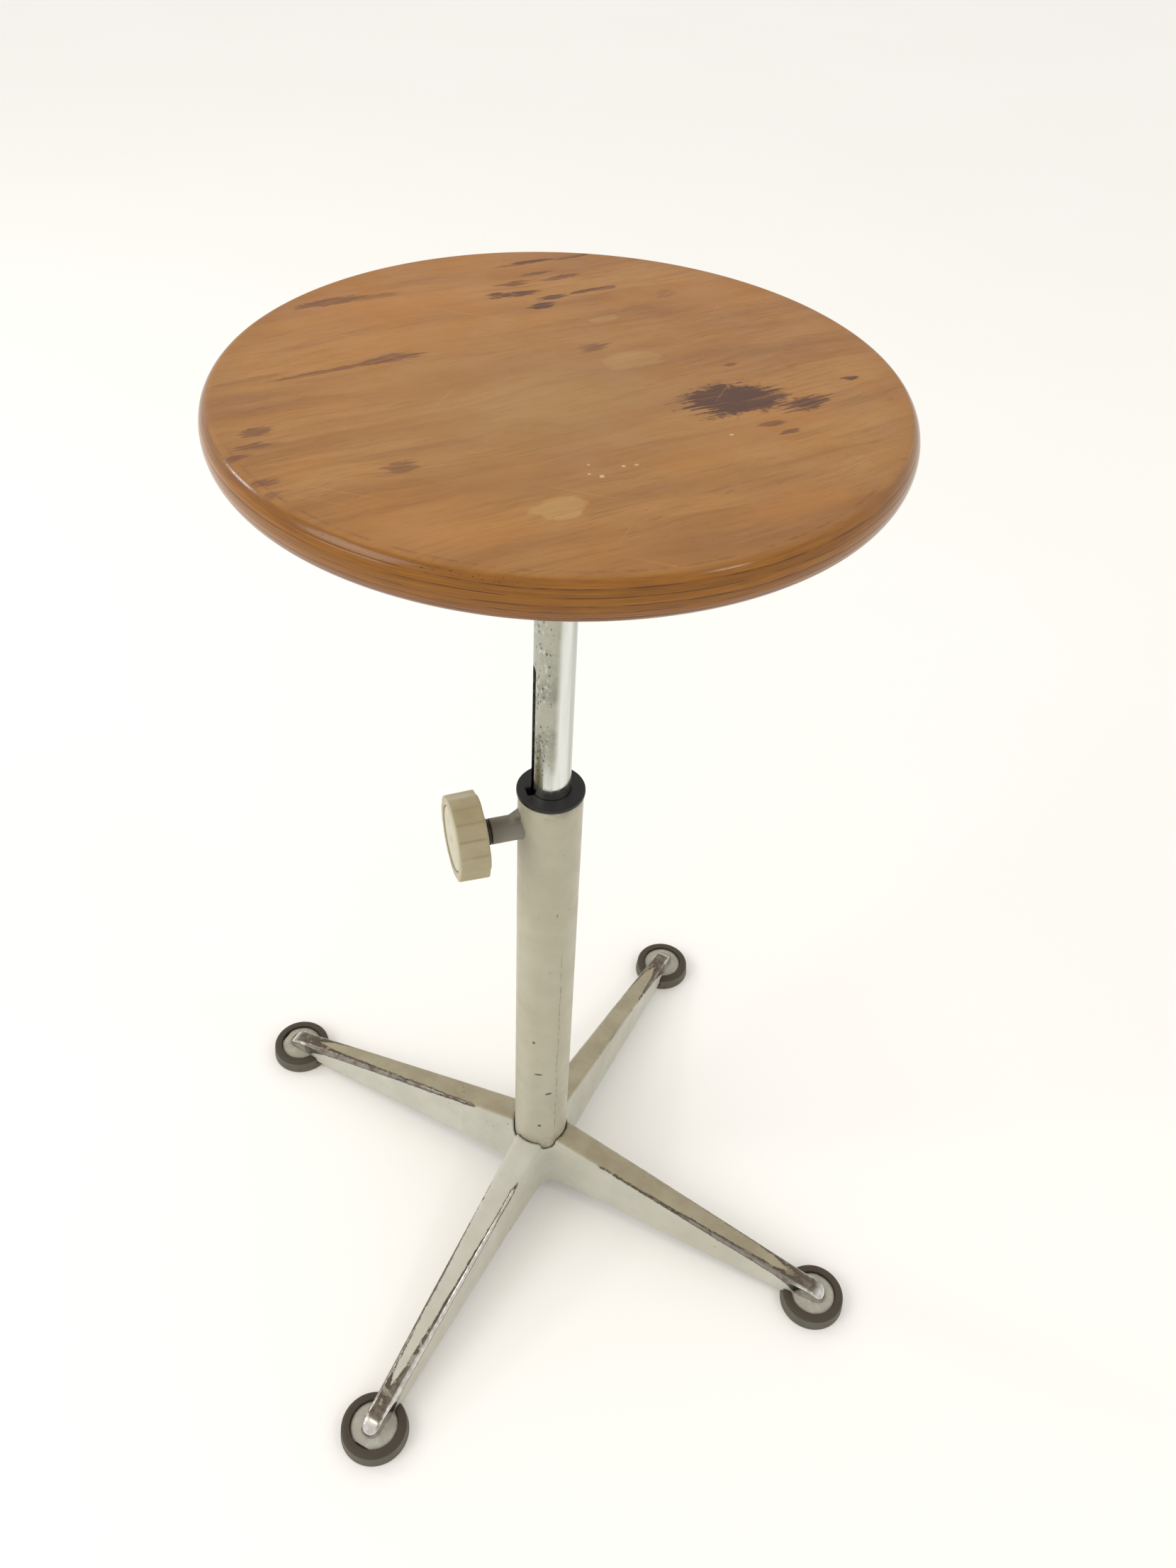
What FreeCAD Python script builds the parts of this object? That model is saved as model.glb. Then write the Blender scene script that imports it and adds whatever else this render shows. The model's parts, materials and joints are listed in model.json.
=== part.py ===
"""Adjustable swivel stool: plywood seat on a keyed, clamped mast and a four-arm cast base.

All sizes are in millimetres. +Z is up, and the origin is on the floor under the column. The base
arms lie along the X and Y axes, and the clamp knob points between two of them.
"""
import FreeCAD, Part

import math
import os

from FreeCAD import Vector

# ---- driving dimensions -------------------------------------------------------------------
SEAT_RADIUS = 175.0
SEAT_TOP = 714.0
SEAT_THICKNESS = 22.0
SEAT_EDGE_DEPTH = 7.0            # how far the rounded edge reaches in from the rim
SEAT_POCKET_RADIUS = 24.0
SEAT_POCKET_DEPTH = 10.0

FLANGE_RADIUS = 80.0
FLANGE_THICKNESS = 3.0
FLANGE_HOLE_CIRCLE = 65.0        # radius of the screw circle
FLANGE_SCREWS = 4
SCREW_SHANK_RADIUS = 2.0
SCREW_HEAD_RADIUS = 4.2
SCREW_LENGTH = 17.0

HOUSING_RADIUS = 19.0
HOUSING_BORE_RADIUS = 15.0
HOUSING_HEIGHT = 44.0
BUSH_LENGTH = 15.0

JOURNAL_RADIUS = 10.0
RUNNING_CLEARANCE = 0.05
SHOULDER_RADIUS = 17.5
SHOULDER_THICKNESS = 6.0
THRUST_WASHER_THICKNESS = 2.0
SPINDLE_PLUG_LENGTH = 36.0
SPINDLE_PIN_RADIUS = 2.5

TUBE_RADIUS = 12.5
TUBE_WALL = 2.0
KEYWAY_WIDTH = 6.0
KEYWAY_TOP = 542.0
TUBE_BOTTOM = 215.0

COLUMN_RADIUS = 21.0
COLUMN_WALL = 2.6
COLUMN_TOP = 440.8
COLUMN_BOTTOM = 34.0
COLUMN_PLUG_LENGTH = 16.0

COLLAR_RADIUS = 21.9
COLLAR_TOP = 444.0
COLLAR_SLEEVE_LENGTH = 60.0
COLLAR_NOTCH_WIDTH = 7.0
COLLAR_NOTCH_DEPTH = 3.4

CLAMP_HEIGHT = 415.0
CLAMP_AZIMUTH = -135.0
CLAMP_TRAVEL_UP = 134.0          # how far the mast rises from rest before the keyway ends
BOSS_RADIUS = 8.5
BOSS_END = 40.0                  # distances along the clamp axis, from the mast's centre
SCREW_RADIUS = 4.95
SCREW_START = 17.0
SCREW_END = 62.0
PAD_RADIUS = 4.2
PAD_GAP = 0.3
KEY_RADIUS = 2.7
KEY_START = 9.0
SPIGOT_RADIUS = 1.5
SPIGOT_LENGTH = 2.4
KNOB_RADIUS = 28.4
KNOB_BACK = 45.8
KNOB_FACE = 65.2
KNOB_LOBES = 8
KNOB_FLUTE_DEPTH = 1.3
KNOB_PHASE = -19.0               # first flute, in degrees about the clamp axis
CAP_RADIUS = 21.5
CAP_THICKNESS = 2.4

ARM_COUNT = 4
ARM_ROOT = 8.0                   # where the arms and webs start, inside the hub's core
ARM_HALF_WIDTH = 14.4            # at the column axis and floor level, before taper and draft
ARM_TAPER = -0.0279              # half-width change per millimetre along the arm
ARM_DRAFT = 0.035                # half-width lost per millimetre of height
ARM_TOP = 74.6                   # height of the arm's top line, carried back to the axis
ARM_SLOPE = -0.2146
ARM_SKIRT_HUB = 17.0
ARM_SKIRT_TIP = 6.0
ARM_EDGE_RADIUS = 3.2
ARM_WALL = 4.0
ARM_ROOF = 5.0
NOSE_CENTRE = 251.2
NOSE_SHOULDER = 244.5            # where the top line starts to curve down
NOSE_DIP_RADIUS = 22.0
HUB_FILLET_RADIUS = 16.5
HUB_CORNER_TOP = 68.3            # height of the corner webs' top, carried back to the axis
HUB_CORNER_HEIGHT = 63.0
HUB_WEB_BOTTOM = 26.0
HUB_CAVITY_RADIUS = 18.0
HUB_GAP_RADIUS = 21.8
HUB_GAP_DEPTH = 5.0

FOOT_CIRCLE_RADIUS = 248.3
FOOT_RADIUS = 25.0
FOOT_TOP_RADIUS = 24.0
FOOT_HEIGHT = 12.4
FOOT_FLOOR = 4.5
FOOT_EDGE_RADIUS = 3.0
PAD_FLANGE_RADIUS = 18.7
PAD_FLANGE_TOP = 8.0
PAD_DISC_RADIUS = 17.0

BASE_BOLT_RADIUS = 4.95
BASE_BOLT_HEAD_FLATS = 17.0
BASE_BOLT_HEAD_HEIGHT = 6.4
BASE_BOLT_LENGTH = 24.0
WASHER_THICKNESS = 2.5
WASHER_RADIUS = 15.0
LOCK_WASHER_RADIUS = 9.0

# ---- heights that follow from them --------------------------------------------------------
SEAT_BOTTOM = SEAT_TOP - SEAT_THICKNESS
FLANGE_BOTTOM = SEAT_BOTTOM - FLANGE_THICKNESS
HOUSING_BOTTOM = FLANGE_BOTTOM - HOUSING_HEIGHT
SHOULDER_TOP = HOUSING_BOTTOM - THRUST_WASHER_THICKNESS - RUNNING_CLEARANCE
TUBE_TOP = SHOULDER_TOP - SHOULDER_THICKNESS
TUBE_BORE_RADIUS = TUBE_RADIUS - TUBE_WALL
COLUMN_BORE_RADIUS = COLUMN_RADIUS - COLUMN_WALL
KEYWAY_BOTTOM = CLAMP_HEIGHT - CLAMP_TRAVEL_UP
LOFT_HEIGHT = 80.0


# ---- building blocks ----------------------------------------------------------------------
def cylinder(radius, low, high):
    """An upright cylinder on the column axis."""
    return Part.makeCylinder(radius, high - low, Vector(0, 0, low))


def ring(outer, inner, low, high):
    """An upright tube on the column axis."""
    return cylinder(outer, low, high).cut(cylinder(inner, low - 1.0, high + 1.0))


def turned(points):
    """A solid of revolution about Z from a closed outline of (radius, height) points."""
    corners = [Vector(r, 0, z) for r, z in points]
    outline = Part.makePolygon(corners + corners[:1])
    return Part.Face(outline).revolve(Vector(0, 0, 0), Vector(0, 0, 1), 360)


def box(low, high):
    """A box between two corners."""
    size = [b - a for a, b in zip(low, high)]
    return Part.makeBox(size[0], size[1], size[2], Vector(*low))


def spun(shape, degrees):
    """A copy of a shape, turned about the column axis."""
    copy = shape.copy()
    copy.rotate(Vector(0, 0, 0), Vector(0, 0, 1), degrees)
    return copy


def on_clamp_axis(shape):
    """Lays a shape built upright on Z along the clamp screw's axis."""
    copy = shape.copy()
    copy.rotate(Vector(0, 0, 0), Vector(0, 1, 0), 90)
    copy.rotate(Vector(0, 0, 0), Vector(0, 0, 1), CLAMP_AZIMUTH)
    copy.translate(Vector(0, 0, CLAMP_HEIGHT))
    return copy


def hexagon(flats, low, high):
    """An upright hexagonal prism on the column axis."""
    radius = flats / math.sqrt(3.0)
    corners = [Vector(radius * math.cos(math.radians(60 * k)), radius * math.sin(math.radians(60 * k)), low)
               for k in range(6)]
    face = Part.Face(Part.makePolygon(corners + corners[:1]))
    return face.extrude(Vector(0, 0, high - low))


def fused(shapes):
    """One solid from several that touch, with its seams merged."""
    return shapes[0].multiFuse(shapes[1:]).removeSplitter()


# ---- seat ---------------------------------------------------------------------------------
def seat_disc():
    """Plywood disc with a fully rounded edge and a blind pocket for the spindle's end."""
    middle = SEAT_TOP - SEAT_THICKNESS / 2
    rim = SEAT_RADIUS - SEAT_EDGE_DEPTH
    first = Vector(rim, 0, SEAT_TOP)
    last = Vector(rim, 0, SEAT_BOTTOM)
    edge = half_ellipse(rim, middle, SEAT_EDGE_DEPTH, SEAT_THICKNESS / 2)
    axis_low = Vector(0, 0, SEAT_BOTTOM)
    axis_high = Vector(0, 0, SEAT_TOP)
    lines = [Part.makeLine(last, axis_low), Part.makeLine(axis_low, axis_high), Part.makeLine(axis_high, first)]
    disc = Part.Face(Part.Wire(Part.__sortEdges__(lines + [edge]))).revolve(Vector(0, 0, 0), Vector(0, 0, 1), 360)
    disc = disc.cut(cylinder(SEAT_POCKET_RADIUS, SEAT_BOTTOM - 1, SEAT_BOTTOM + SEAT_POCKET_DEPTH))
    for place in flange_screw_places():
        pilot = cylinder(SCREW_SHANK_RADIUS, SEAT_BOTTOM - 1, FLANGE_BOTTOM + SCREW_LENGTH)
        pilot.translate(place)
        disc = disc.cut(pilot)
    return disc


def half_ellipse(centre_radius, centre_height, reach, rise):
    """The outer half of an ellipse in the XZ plane, from its top to its bottom."""
    points = []
    steps = 24
    for k in range(steps + 1):
        angle = math.pi / 2 - math.pi * k / steps
        points.append(Vector(centre_radius + reach * math.cos(angle), 0, centre_height + rise * math.sin(angle)))
    curve = Part.BSplineCurve()
    curve.interpolate(points)
    return curve.toShape()


def flange_screw_places():
    """Centres of the seat screws, between the seat's main directions."""
    places = []
    for k in range(FLANGE_SCREWS):
        angle = math.radians(45 + 360 * k / FLANGE_SCREWS)
        places.append(Vector(FLANGE_HOLE_CIRCLE * math.cos(angle), FLANGE_HOLE_CIRCLE * math.sin(angle), 0))
    return places


def screw_blank():
    """One countersunk wood screw with a pointed tip, head down."""
    neck = FLANGE_BOTTOM + SCREW_HEAD_RADIUS - SCREW_SHANK_RADIUS
    tip = FLANGE_BOTTOM + SCREW_LENGTH
    return turned([(0, FLANGE_BOTTOM), (SCREW_HEAD_RADIUS, FLANGE_BOTTOM), (SCREW_SHANK_RADIUS, neck),
                   (SCREW_SHANK_RADIUS, tip - 4.0), (0, tip)])


def seat_screws():
    """The four wood screws, each with a driver slot."""
    slot = box((-SCREW_HEAD_RADIUS, -0.6, FLANGE_BOTTOM - 1), (SCREW_HEAD_RADIUS, 0.6, FLANGE_BOTTOM + 1.0))
    screw = screw_blank().cut(slot)
    screws = []
    for k, place in enumerate(flange_screw_places()):
        copy = spun(screw, 37.0 * k)
        copy.translate(place)
        screws.append(copy)
    return Part.makeCompound(screws)


def seat_flange():
    """Round steel plate with a turned rim edge, countersunk holes and a spindle hole."""
    lip = 1.0
    plate = turned([(HOUSING_BORE_RADIUS, FLANGE_BOTTOM), (FLANGE_RADIUS - lip, FLANGE_BOTTOM),
                    (FLANGE_RADIUS, FLANGE_BOTTOM + lip), (FLANGE_RADIUS, SEAT_BOTTOM),
                    (HOUSING_BORE_RADIUS, SEAT_BOTTOM)])
    for place in flange_screw_places():
        tool = screw_blank()
        tool.translate(place)
        plate = plate.cut(tool)
    return plate


def swivel_housing():
    """Steel tube under the flange, with a weld bead where they meet."""
    bead = 3.0
    return turned([(HOUSING_BORE_RADIUS, HOUSING_BOTTOM), (HOUSING_RADIUS - 1, HOUSING_BOTTOM),
                   (HOUSING_RADIUS, HOUSING_BOTTOM + 1), (HOUSING_RADIUS, FLANGE_BOTTOM - bead),
                   (HOUSING_RADIUS + bead, FLANGE_BOTTOM), (HOUSING_BORE_RADIUS, FLANGE_BOTTOM)])


def swivel_bush(low):
    """One bronze bush pressed into the housing."""
    return ring(HOUSING_BORE_RADIUS, JOURNAL_RADIUS + RUNNING_CLEARANCE, low, low + BUSH_LENGTH)


# ---- spindle and mast ---------------------------------------------------------------------
JOURNAL_TOP = SEAT_BOTTOM + 7.0
CIRCLIP_BOTTOM = SEAT_BOTTOM + 2.6
CIRCLIP_THICKNESS = 1.5
CIRCLIP_GROOVE_RADIUS = 9.2
PIN_HEIGHT = TUBE_TOP - SPINDLE_PLUG_LENGTH / 2


def seat_spindle():
    """Turned steel spindle: plug in the mast, thrust shoulder, journal and circlip groove."""
    plug_bottom = TUBE_TOP - SPINDLE_PLUG_LENGTH
    clip_top = CIRCLIP_BOTTOM + CIRCLIP_THICKNESS
    spindle = turned([(0, plug_bottom), (TUBE_BORE_RADIUS - 1, plug_bottom), (TUBE_BORE_RADIUS, plug_bottom + 1),
                      (TUBE_BORE_RADIUS, TUBE_TOP), (SHOULDER_RADIUS - 1, TUBE_TOP),
                      (SHOULDER_RADIUS, TUBE_TOP + 1), (SHOULDER_RADIUS, SHOULDER_TOP),
                      (JOURNAL_RADIUS, SHOULDER_TOP), (JOURNAL_RADIUS, CIRCLIP_BOTTOM),
                      (CIRCLIP_GROOVE_RADIUS, CIRCLIP_BOTTOM), (CIRCLIP_GROOVE_RADIUS, clip_top),
                      (JOURNAL_RADIUS, clip_top), (JOURNAL_RADIUS, JOURNAL_TOP - 1),
                      (JOURNAL_RADIUS - 1, JOURNAL_TOP), (0, JOURNAL_TOP)])
    return spindle.cut(spindle_pin_blank())


def spindle_pin_blank():
    """The cross pin's cylinder, through the mast and the spindle plug."""
    reach = TUBE_RADIUS - 0.3
    pin = Part.makeCylinder(SPINDLE_PIN_RADIUS, 2 * reach, Vector(-reach, 0, 0), Vector(1, 0, 0))
    pin.rotate(Vector(0, 0, 0), Vector(0, 0, 1), 20)
    pin.translate(Vector(0, 0, PIN_HEIGHT))
    return pin


def spindle_pin():
    """Rolled spring pin: a tube with a slit."""
    pin = spindle_pin_blank()
    reach = TUBE_RADIUS + 1
    hollow = Part.makeCylinder(SPINDLE_PIN_RADIUS - 0.8, 2 * reach, Vector(-reach, 0, 0), Vector(1, 0, 0))
    slit = box((-reach, -0.3, 0), (reach, 0.3, SPINDLE_PIN_RADIUS + 1))
    for tool in (hollow, slit):
        tool.rotate(Vector(0, 0, 0), Vector(0, 0, 1), 20)
        tool.translate(Vector(0, 0, PIN_HEIGHT))
        pin = pin.cut(tool)
    return pin


def thrust_washer():
    """Bronze washer that carries the seat on the spindle's shoulder."""
    return ring(SHOULDER_RADIUS - 0.3, JOURNAL_RADIUS + 0.2, SHOULDER_TOP, SHOULDER_TOP + THRUST_WASHER_THICKNESS)


def spindle_washer():
    """Steel washer over the flange, under the circlip."""
    low = SEAT_BOTTOM + 0.1
    return ring(20.0, JOURNAL_RADIUS + 0.2, low, CIRCLIP_BOTTOM)


def spindle_circlip():
    """Open retaining ring in the spindle's groove."""
    clip = ring(13.0, CIRCLIP_GROOVE_RADIUS, CIRCLIP_BOTTOM, CIRCLIP_BOTTOM + CIRCLIP_THICKNESS)
    gap = box((0, -3.0, CIRCLIP_BOTTOM - 1), (15, 3.0, CIRCLIP_BOTTOM + CIRCLIP_THICKNESS + 1))
    return clip.cut(gap)


def keyway_tool():
    """The slot down the side of the mast that faces the clamp screw, round at both ends."""
    half = KEYWAY_WIDTH / 2
    slot = box((TUBE_BORE_RADIUS - 3, -half, KEYWAY_BOTTOM), (TUBE_RADIUS + 3, half, KEYWAY_TOP - half))
    for height in (KEYWAY_BOTTOM, KEYWAY_TOP - half):
        end = Part.makeCylinder(half, TUBE_WALL + 6, Vector(TUBE_BORE_RADIUS - 3, 0, height), Vector(1, 0, 0))
        slot = slot.fuse(end)
    return spun(slot, CLAMP_AZIMUTH)


def inner_tube():
    """Chromed steel mast with its keyway, and holes for the spindle and guide pins."""
    tube = ring(TUBE_RADIUS, TUBE_BORE_RADIUS, TUBE_BOTTOM, TUBE_TOP)
    tube = tube.cut(keyway_tool())
    tube = tube.cut(spindle_pin_blank())
    return tube.cut(guide_pin())


GUIDE_HEIGHT = 18.0
GUIDE_PIN_RADIUS = 2.0


def guide_pin():
    """Rivet pin through the guide and the foot of the mast."""
    reach = TUBE_RADIUS + 2.0
    pin = Part.makeCylinder(GUIDE_PIN_RADIUS, 2 * reach, Vector(-reach, 0, 0), Vector(1, 0, 0))
    pin.translate(Vector(0, 0, TUBE_BOTTOM + GUIDE_HEIGHT / 2))
    return pin


def guide_bush():
    """Nylon sleeve on the foot of the mast that steadies it inside the column."""
    running_radius = COLUMN_BORE_RADIUS - 0.1
    low = TUBE_BOTTOM - 3.0
    high = TUBE_BOTTOM + GUIDE_HEIGHT
    bush = turned([(TUBE_BORE_RADIUS - 2, low), (running_radius - 1, low), (running_radius, low + 1),
                   (running_radius, high - 1), (running_radius - 1, high), (TUBE_RADIUS, high),
                   (TUBE_RADIUS, TUBE_BOTTOM), (TUBE_BORE_RADIUS - 2, TUBE_BOTTOM)])
    return bush.cut(guide_pin())


# ---- column and clamp ---------------------------------------------------------------------
def collar_bush():
    """Black plastic collar: a flange on the column's end and a long sleeve inside it."""
    sleeve_bottom = COLUMN_TOP - COLLAR_SLEEVE_LENGTH
    round_off = 0.8
    bore = TUBE_RADIUS + RUNNING_CLEARANCE
    bush = turned([(bore, sleeve_bottom), (COLUMN_BORE_RADIUS, sleeve_bottom), (COLUMN_BORE_RADIUS, COLUMN_TOP),
                   (COLLAR_RADIUS, COLUMN_TOP), (COLLAR_RADIUS, COLLAR_TOP - round_off),
                   (COLLAR_RADIUS - round_off, COLLAR_TOP), (bore + round_off, COLLAR_TOP),
                   (bore, COLLAR_TOP - round_off)])
    half = COLLAR_NOTCH_WIDTH / 2
    notch = box((0, -half, sleeve_bottom - 1), (bore + COLLAR_NOTCH_DEPTH, half, COLLAR_TOP + 1))
    bush = bush.cut(spun(notch, CLAMP_AZIMUTH))
    screw_way = on_clamp_axis(cylinder(SCREW_RADIUS + 0.3, 0, COLUMN_RADIUS + 5).cut(cylinder(60, -1, 0)))
    return bush.cut(screw_way)


def column_tube():
    """Painted steel column with the hole for the clamp screw."""
    tube = ring(COLUMN_RADIUS, COLUMN_BORE_RADIUS, COLUMN_BOTTOM, COLUMN_TOP)
    return tube.cut(on_clamp_axis(cylinder(SCREW_RADIUS + 0.3, 0, COLUMN_RADIUS + 5)))


def column_plug():
    """Steel plug welded in the column's foot, tapped for the base bolt."""
    top = COLUMN_BOTTOM + COLUMN_PLUG_LENGTH
    return ring(COLUMN_BORE_RADIUS, BASE_BOLT_RADIUS + RUNNING_CLEARANCE, COLUMN_BOTTOM, top)


def clamp_boss():
    """Tapped boss welded to the column, with its weld fillet and an upper gusset."""
    fillet = 1.2
    chamfer = 0.6
    root = COLUMN_RADIUS - 4.0
    blank = turned([(0, root), (BOSS_RADIUS + fillet, root), (BOSS_RADIUS + fillet, COLUMN_RADIUS - 0.5),
                    (BOSS_RADIUS, COLUMN_RADIUS + fillet), (BOSS_RADIUS, BOSS_END - chamfer),
                    (BOSS_RADIUS - chamfer, BOSS_END), (0, BOSS_END)])
    boss = on_clamp_axis(blank)
    gusset_reach = 6.5
    gusset_rise = 4.6
    low = CLAMP_HEIGHT + BOSS_RADIUS - 2.0
    profile = [Vector(root, 0, low), Vector(COLUMN_RADIUS + gusset_reach, 0, low),
               Vector(COLUMN_RADIUS + gusset_reach, 0, CLAMP_HEIGHT + BOSS_RADIUS - 0.6),
               Vector(COLUMN_RADIUS - 0.5, 0, CLAMP_HEIGHT + BOSS_RADIUS + gusset_rise),
               Vector(root, 0, CLAMP_HEIGHT + BOSS_RADIUS + gusset_rise)]
    gusset = Part.Face(Part.makePolygon(profile + profile[:1])).extrude(Vector(0, 7.0, 0))
    gusset.translate(Vector(0, -3.5, 0))
    boss = boss.fuse(spun(gusset, CLAMP_AZIMUTH))
    boss = boss.cut(cylinder(COLUMN_RADIUS, CLAMP_HEIGHT - 60, CLAMP_HEIGHT + 60))
    boss = boss.cut(on_clamp_axis(cylinder(SCREW_RADIUS + RUNNING_CLEARANCE, 0, BOSS_END + 5)))
    return boss.removeSplitter()


def pressure_pad():
    """Brass pad on the screw's end: it clamps the mast, and its key runs in the keyway."""
    face = TUBE_RADIUS + PAD_GAP
    pad = turned([(0, KEY_START), (KEY_RADIUS - 0.5, KEY_START), (KEY_RADIUS, KEY_START + 0.5),
                  (KEY_RADIUS, face), (PAD_RADIUS, face), (PAD_RADIUS, SCREW_START), (0, SCREW_START)])
    socket = cylinder(SPIGOT_RADIUS + RUNNING_CLEARANCE, SCREW_START - SPIGOT_LENGTH - 0.3, SCREW_START + 1)
    return on_clamp_axis(pad.cut(socket))


def clamp_screw():
    """Clamp screw: spigot in the pad, tapped length in the boss, tail in the knob."""
    start = SCREW_START + RUNNING_CLEARANCE
    screw = turned([(0, start - SPIGOT_LENGTH), (SPIGOT_RADIUS, start - SPIGOT_LENGTH), (SPIGOT_RADIUS, start),
                    (SCREW_RADIUS - 1, start), (SCREW_RADIUS, start + 1), (SCREW_RADIUS, SCREW_END - 1),
                    (SCREW_RADIUS - 1, SCREW_END), (0, SCREW_END)])
    return on_clamp_axis(screw)


def screw_collar():
    """Blackened collar between the boss and the knob."""
    gap = 0.3
    chamfer = 0.5
    taper = 2.2
    neck = 1.4
    low = BOSS_END + gap
    collar = turned([(SCREW_RADIUS, low), (BOSS_RADIUS - chamfer, low), (BOSS_RADIUS, low + chamfer),
                     (BOSS_RADIUS, KNOB_BACK - neck - taper), (BOSS_RADIUS - taper, KNOB_BACK - neck),
                     (BOSS_RADIUS - taper, KNOB_BACK), (SCREW_RADIUS, KNOB_BACK)])
    return on_clamp_axis(collar)


def clamp_knob():
    """Moulded knob with shallow concave flutes round its rim and a recess for its cap."""
    bevel = 0.8
    knob = turned([(SCREW_RADIUS, KNOB_BACK), (KNOB_RADIUS - bevel, KNOB_BACK), (KNOB_RADIUS, KNOB_BACK + bevel),
                   (KNOB_RADIUS, KNOB_FACE - bevel), (KNOB_RADIUS - bevel, KNOB_FACE),
                   (CAP_RADIUS, KNOB_FACE), (CAP_RADIUS, KNOB_FACE - CAP_THICKNESS),
                   (SCREW_RADIUS, KNOB_FACE - CAP_THICKNESS)])
    pitch = 2 * math.pi / KNOB_LOBES
    half_chord = KNOB_RADIUS * math.sin(pitch / 4)
    sag = KNOB_RADIUS * (1 - math.cos(pitch / 4))
    depth = KNOB_FLUTE_DEPTH - sag
    cutter_radius = (half_chord ** 2 + depth ** 2) / (2 * depth)
    centre = KNOB_RADIUS * math.cos(pitch / 4) - depth + cutter_radius
    for k in range(KNOB_LOBES):
        cutter = Part.makeCylinder(cutter_radius, KNOB_FACE - KNOB_BACK + 2, Vector(centre, 0, KNOB_BACK - 1))
        cutter.rotate(Vector(0, 0, 0), Vector(0, 0, 1), flute_angle(k))
        knob = knob.cut(cutter)
    return on_clamp_axis(knob)


def flute_angle(index):
    """Where a flute lies about the upright clamp axis, before it is laid along the screw."""
    return 90 + KNOB_PHASE + 360.0 * index / KNOB_LOBES


def knob_cap():
    """Snap-in disc that closes the knob's face."""
    edge = 0.4
    low = KNOB_FACE - CAP_THICKNESS
    top = KNOB_FACE - 0.5
    cap = turned([(0, low), (CAP_RADIUS - edge, low), (CAP_RADIUS - edge, top - edge),
                  (CAP_RADIUS - 2 * edge, top), (0, top)])
    return on_clamp_axis(cap)


# ---- base ---------------------------------------------------------------------------------
def arm_half_width(distance, height):
    """The casting's half-width along an arm, with its taper and mould draft."""
    return ARM_HALF_WIDTH + ARM_TAPER * distance - ARM_DRAFT * height


def arm_top(distance):
    """Height of the arm's top face."""
    return ARM_TOP + ARM_SLOPE * distance


def nose_tangent(height, inset):
    """Radius and tangent point of the arm's rounded end in plan."""
    slant = math.sqrt(1 + ARM_TAPER ** 2)
    radius = (arm_half_width(NOSE_CENTRE, height) - inset) / slant
    point = (NOSE_CENTRE - radius * ARM_TAPER / slant, radius / slant)
    return radius, point


def drafted(low_edges, high_edges):
    """A solid between two level outlines whose edges match one for one."""
    faces = [Part.Face(Part.Wire(low_edges)), Part.Face(Part.Wire(high_edges))]
    for low, high in zip(low_edges, high_edges):
        if isinstance(low.Curve, Part.Line):
            corners = [low.Vertexes[0].Point, low.Vertexes[1].Point, high.Vertexes[1].Point,
                       high.Vertexes[0].Point]
            faces.append(Part.Face(Part.makePolygon(corners + corners[:1])))
        else:
            faces += Part.makeLoft([Part.Wire([low]), Part.Wire([high])], False, True).Faces
    shell = Part.Shell(faces)
    shell.sewShape()
    return Part.Solid(shell)


def arm_outline(start, height, inset):
    """Plan outline of one arm along +X at a height, pulled in by an inset."""
    radius, (nose_x, nose_y) = nose_tangent(height, inset)
    root = arm_half_width(start, height) - inset
    corners = [Vector(start, -root, height), Vector(nose_x, -nose_y, height),
               Vector(nose_x, nose_y, height), Vector(start, root, height)]
    tip = Vector(NOSE_CENTRE + radius, 0, height)
    return [Part.makeLine(corners[0], corners[1]), Part.Arc(corners[1], tip, corners[2]).toShape(),
            Part.makeLine(corners[2], corners[3]), Part.makeLine(corners[3], corners[0])]


def arm_bar(start, inset):
    """A drafted bar along +X, as tall as the whole casting."""
    return drafted(arm_outline(start, 0, inset), arm_outline(start, LOFT_HEIGHT, inset))


def slab_of(edges):
    """A slab across the arm from a closed side view in the XZ plane."""
    reach = 60.0
    slab = Part.Face(Part.Wire(edges)).extrude(Vector(0, reach, 0))
    slab.translate(Vector(0, -reach / 2, 0))
    return slab


def arm_below_top():
    """Side view of an arm with a straight sloping top and a rising skirt."""
    end = NOSE_CENTRE + 20.0
    foot_inner = FOOT_CIRCLE_RADIUS - FOOT_RADIUS
    points = [Vector(0, 0, arm_top(0)), Vector(end, 0, arm_top(end)), Vector(end, 0, ARM_SKIRT_TIP),
              Vector(foot_inner, 0, ARM_SKIRT_TIP), Vector(FOOT_RADIUS, 0, ARM_SKIRT_HUB),
              Vector(0, 0, ARM_SKIRT_HUB)]
    return slab_of(Part.makePolygon(points + points[:1]).Edges)


def nose_dip():
    """Side view of an arm whose top line curves down over the tip."""
    slant = math.sqrt(1 + ARM_SLOPE ** 2)
    start = Vector(NOSE_SHOULDER, 0, arm_top(NOSE_SHOULDER))
    centre = start + Vector(ARM_SLOPE, 0, -1) * (NOSE_DIP_RADIUS / slant)
    tilt = math.atan2(start.z - centre.z, start.x - centre.x)
    middle = centre + Vector(math.cos(tilt / 2), 0, math.sin(tilt / 2)) * NOSE_DIP_RADIUS
    end = centre + Vector(NOSE_DIP_RADIUS, 0, 0)
    below = -5.0
    lines = [(end, Vector(end.x, 0, below)), (Vector(end.x, 0, below), Vector(0, 0, below)),
             (Vector(0, 0, below), Vector(0, 0, arm_top(0))), (Vector(0, 0, arm_top(0)), start)]
    return slab_of([Part.Arc(start, middle, end).toShape()] + [Part.makeLine(a, b) for a, b in lines])


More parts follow.
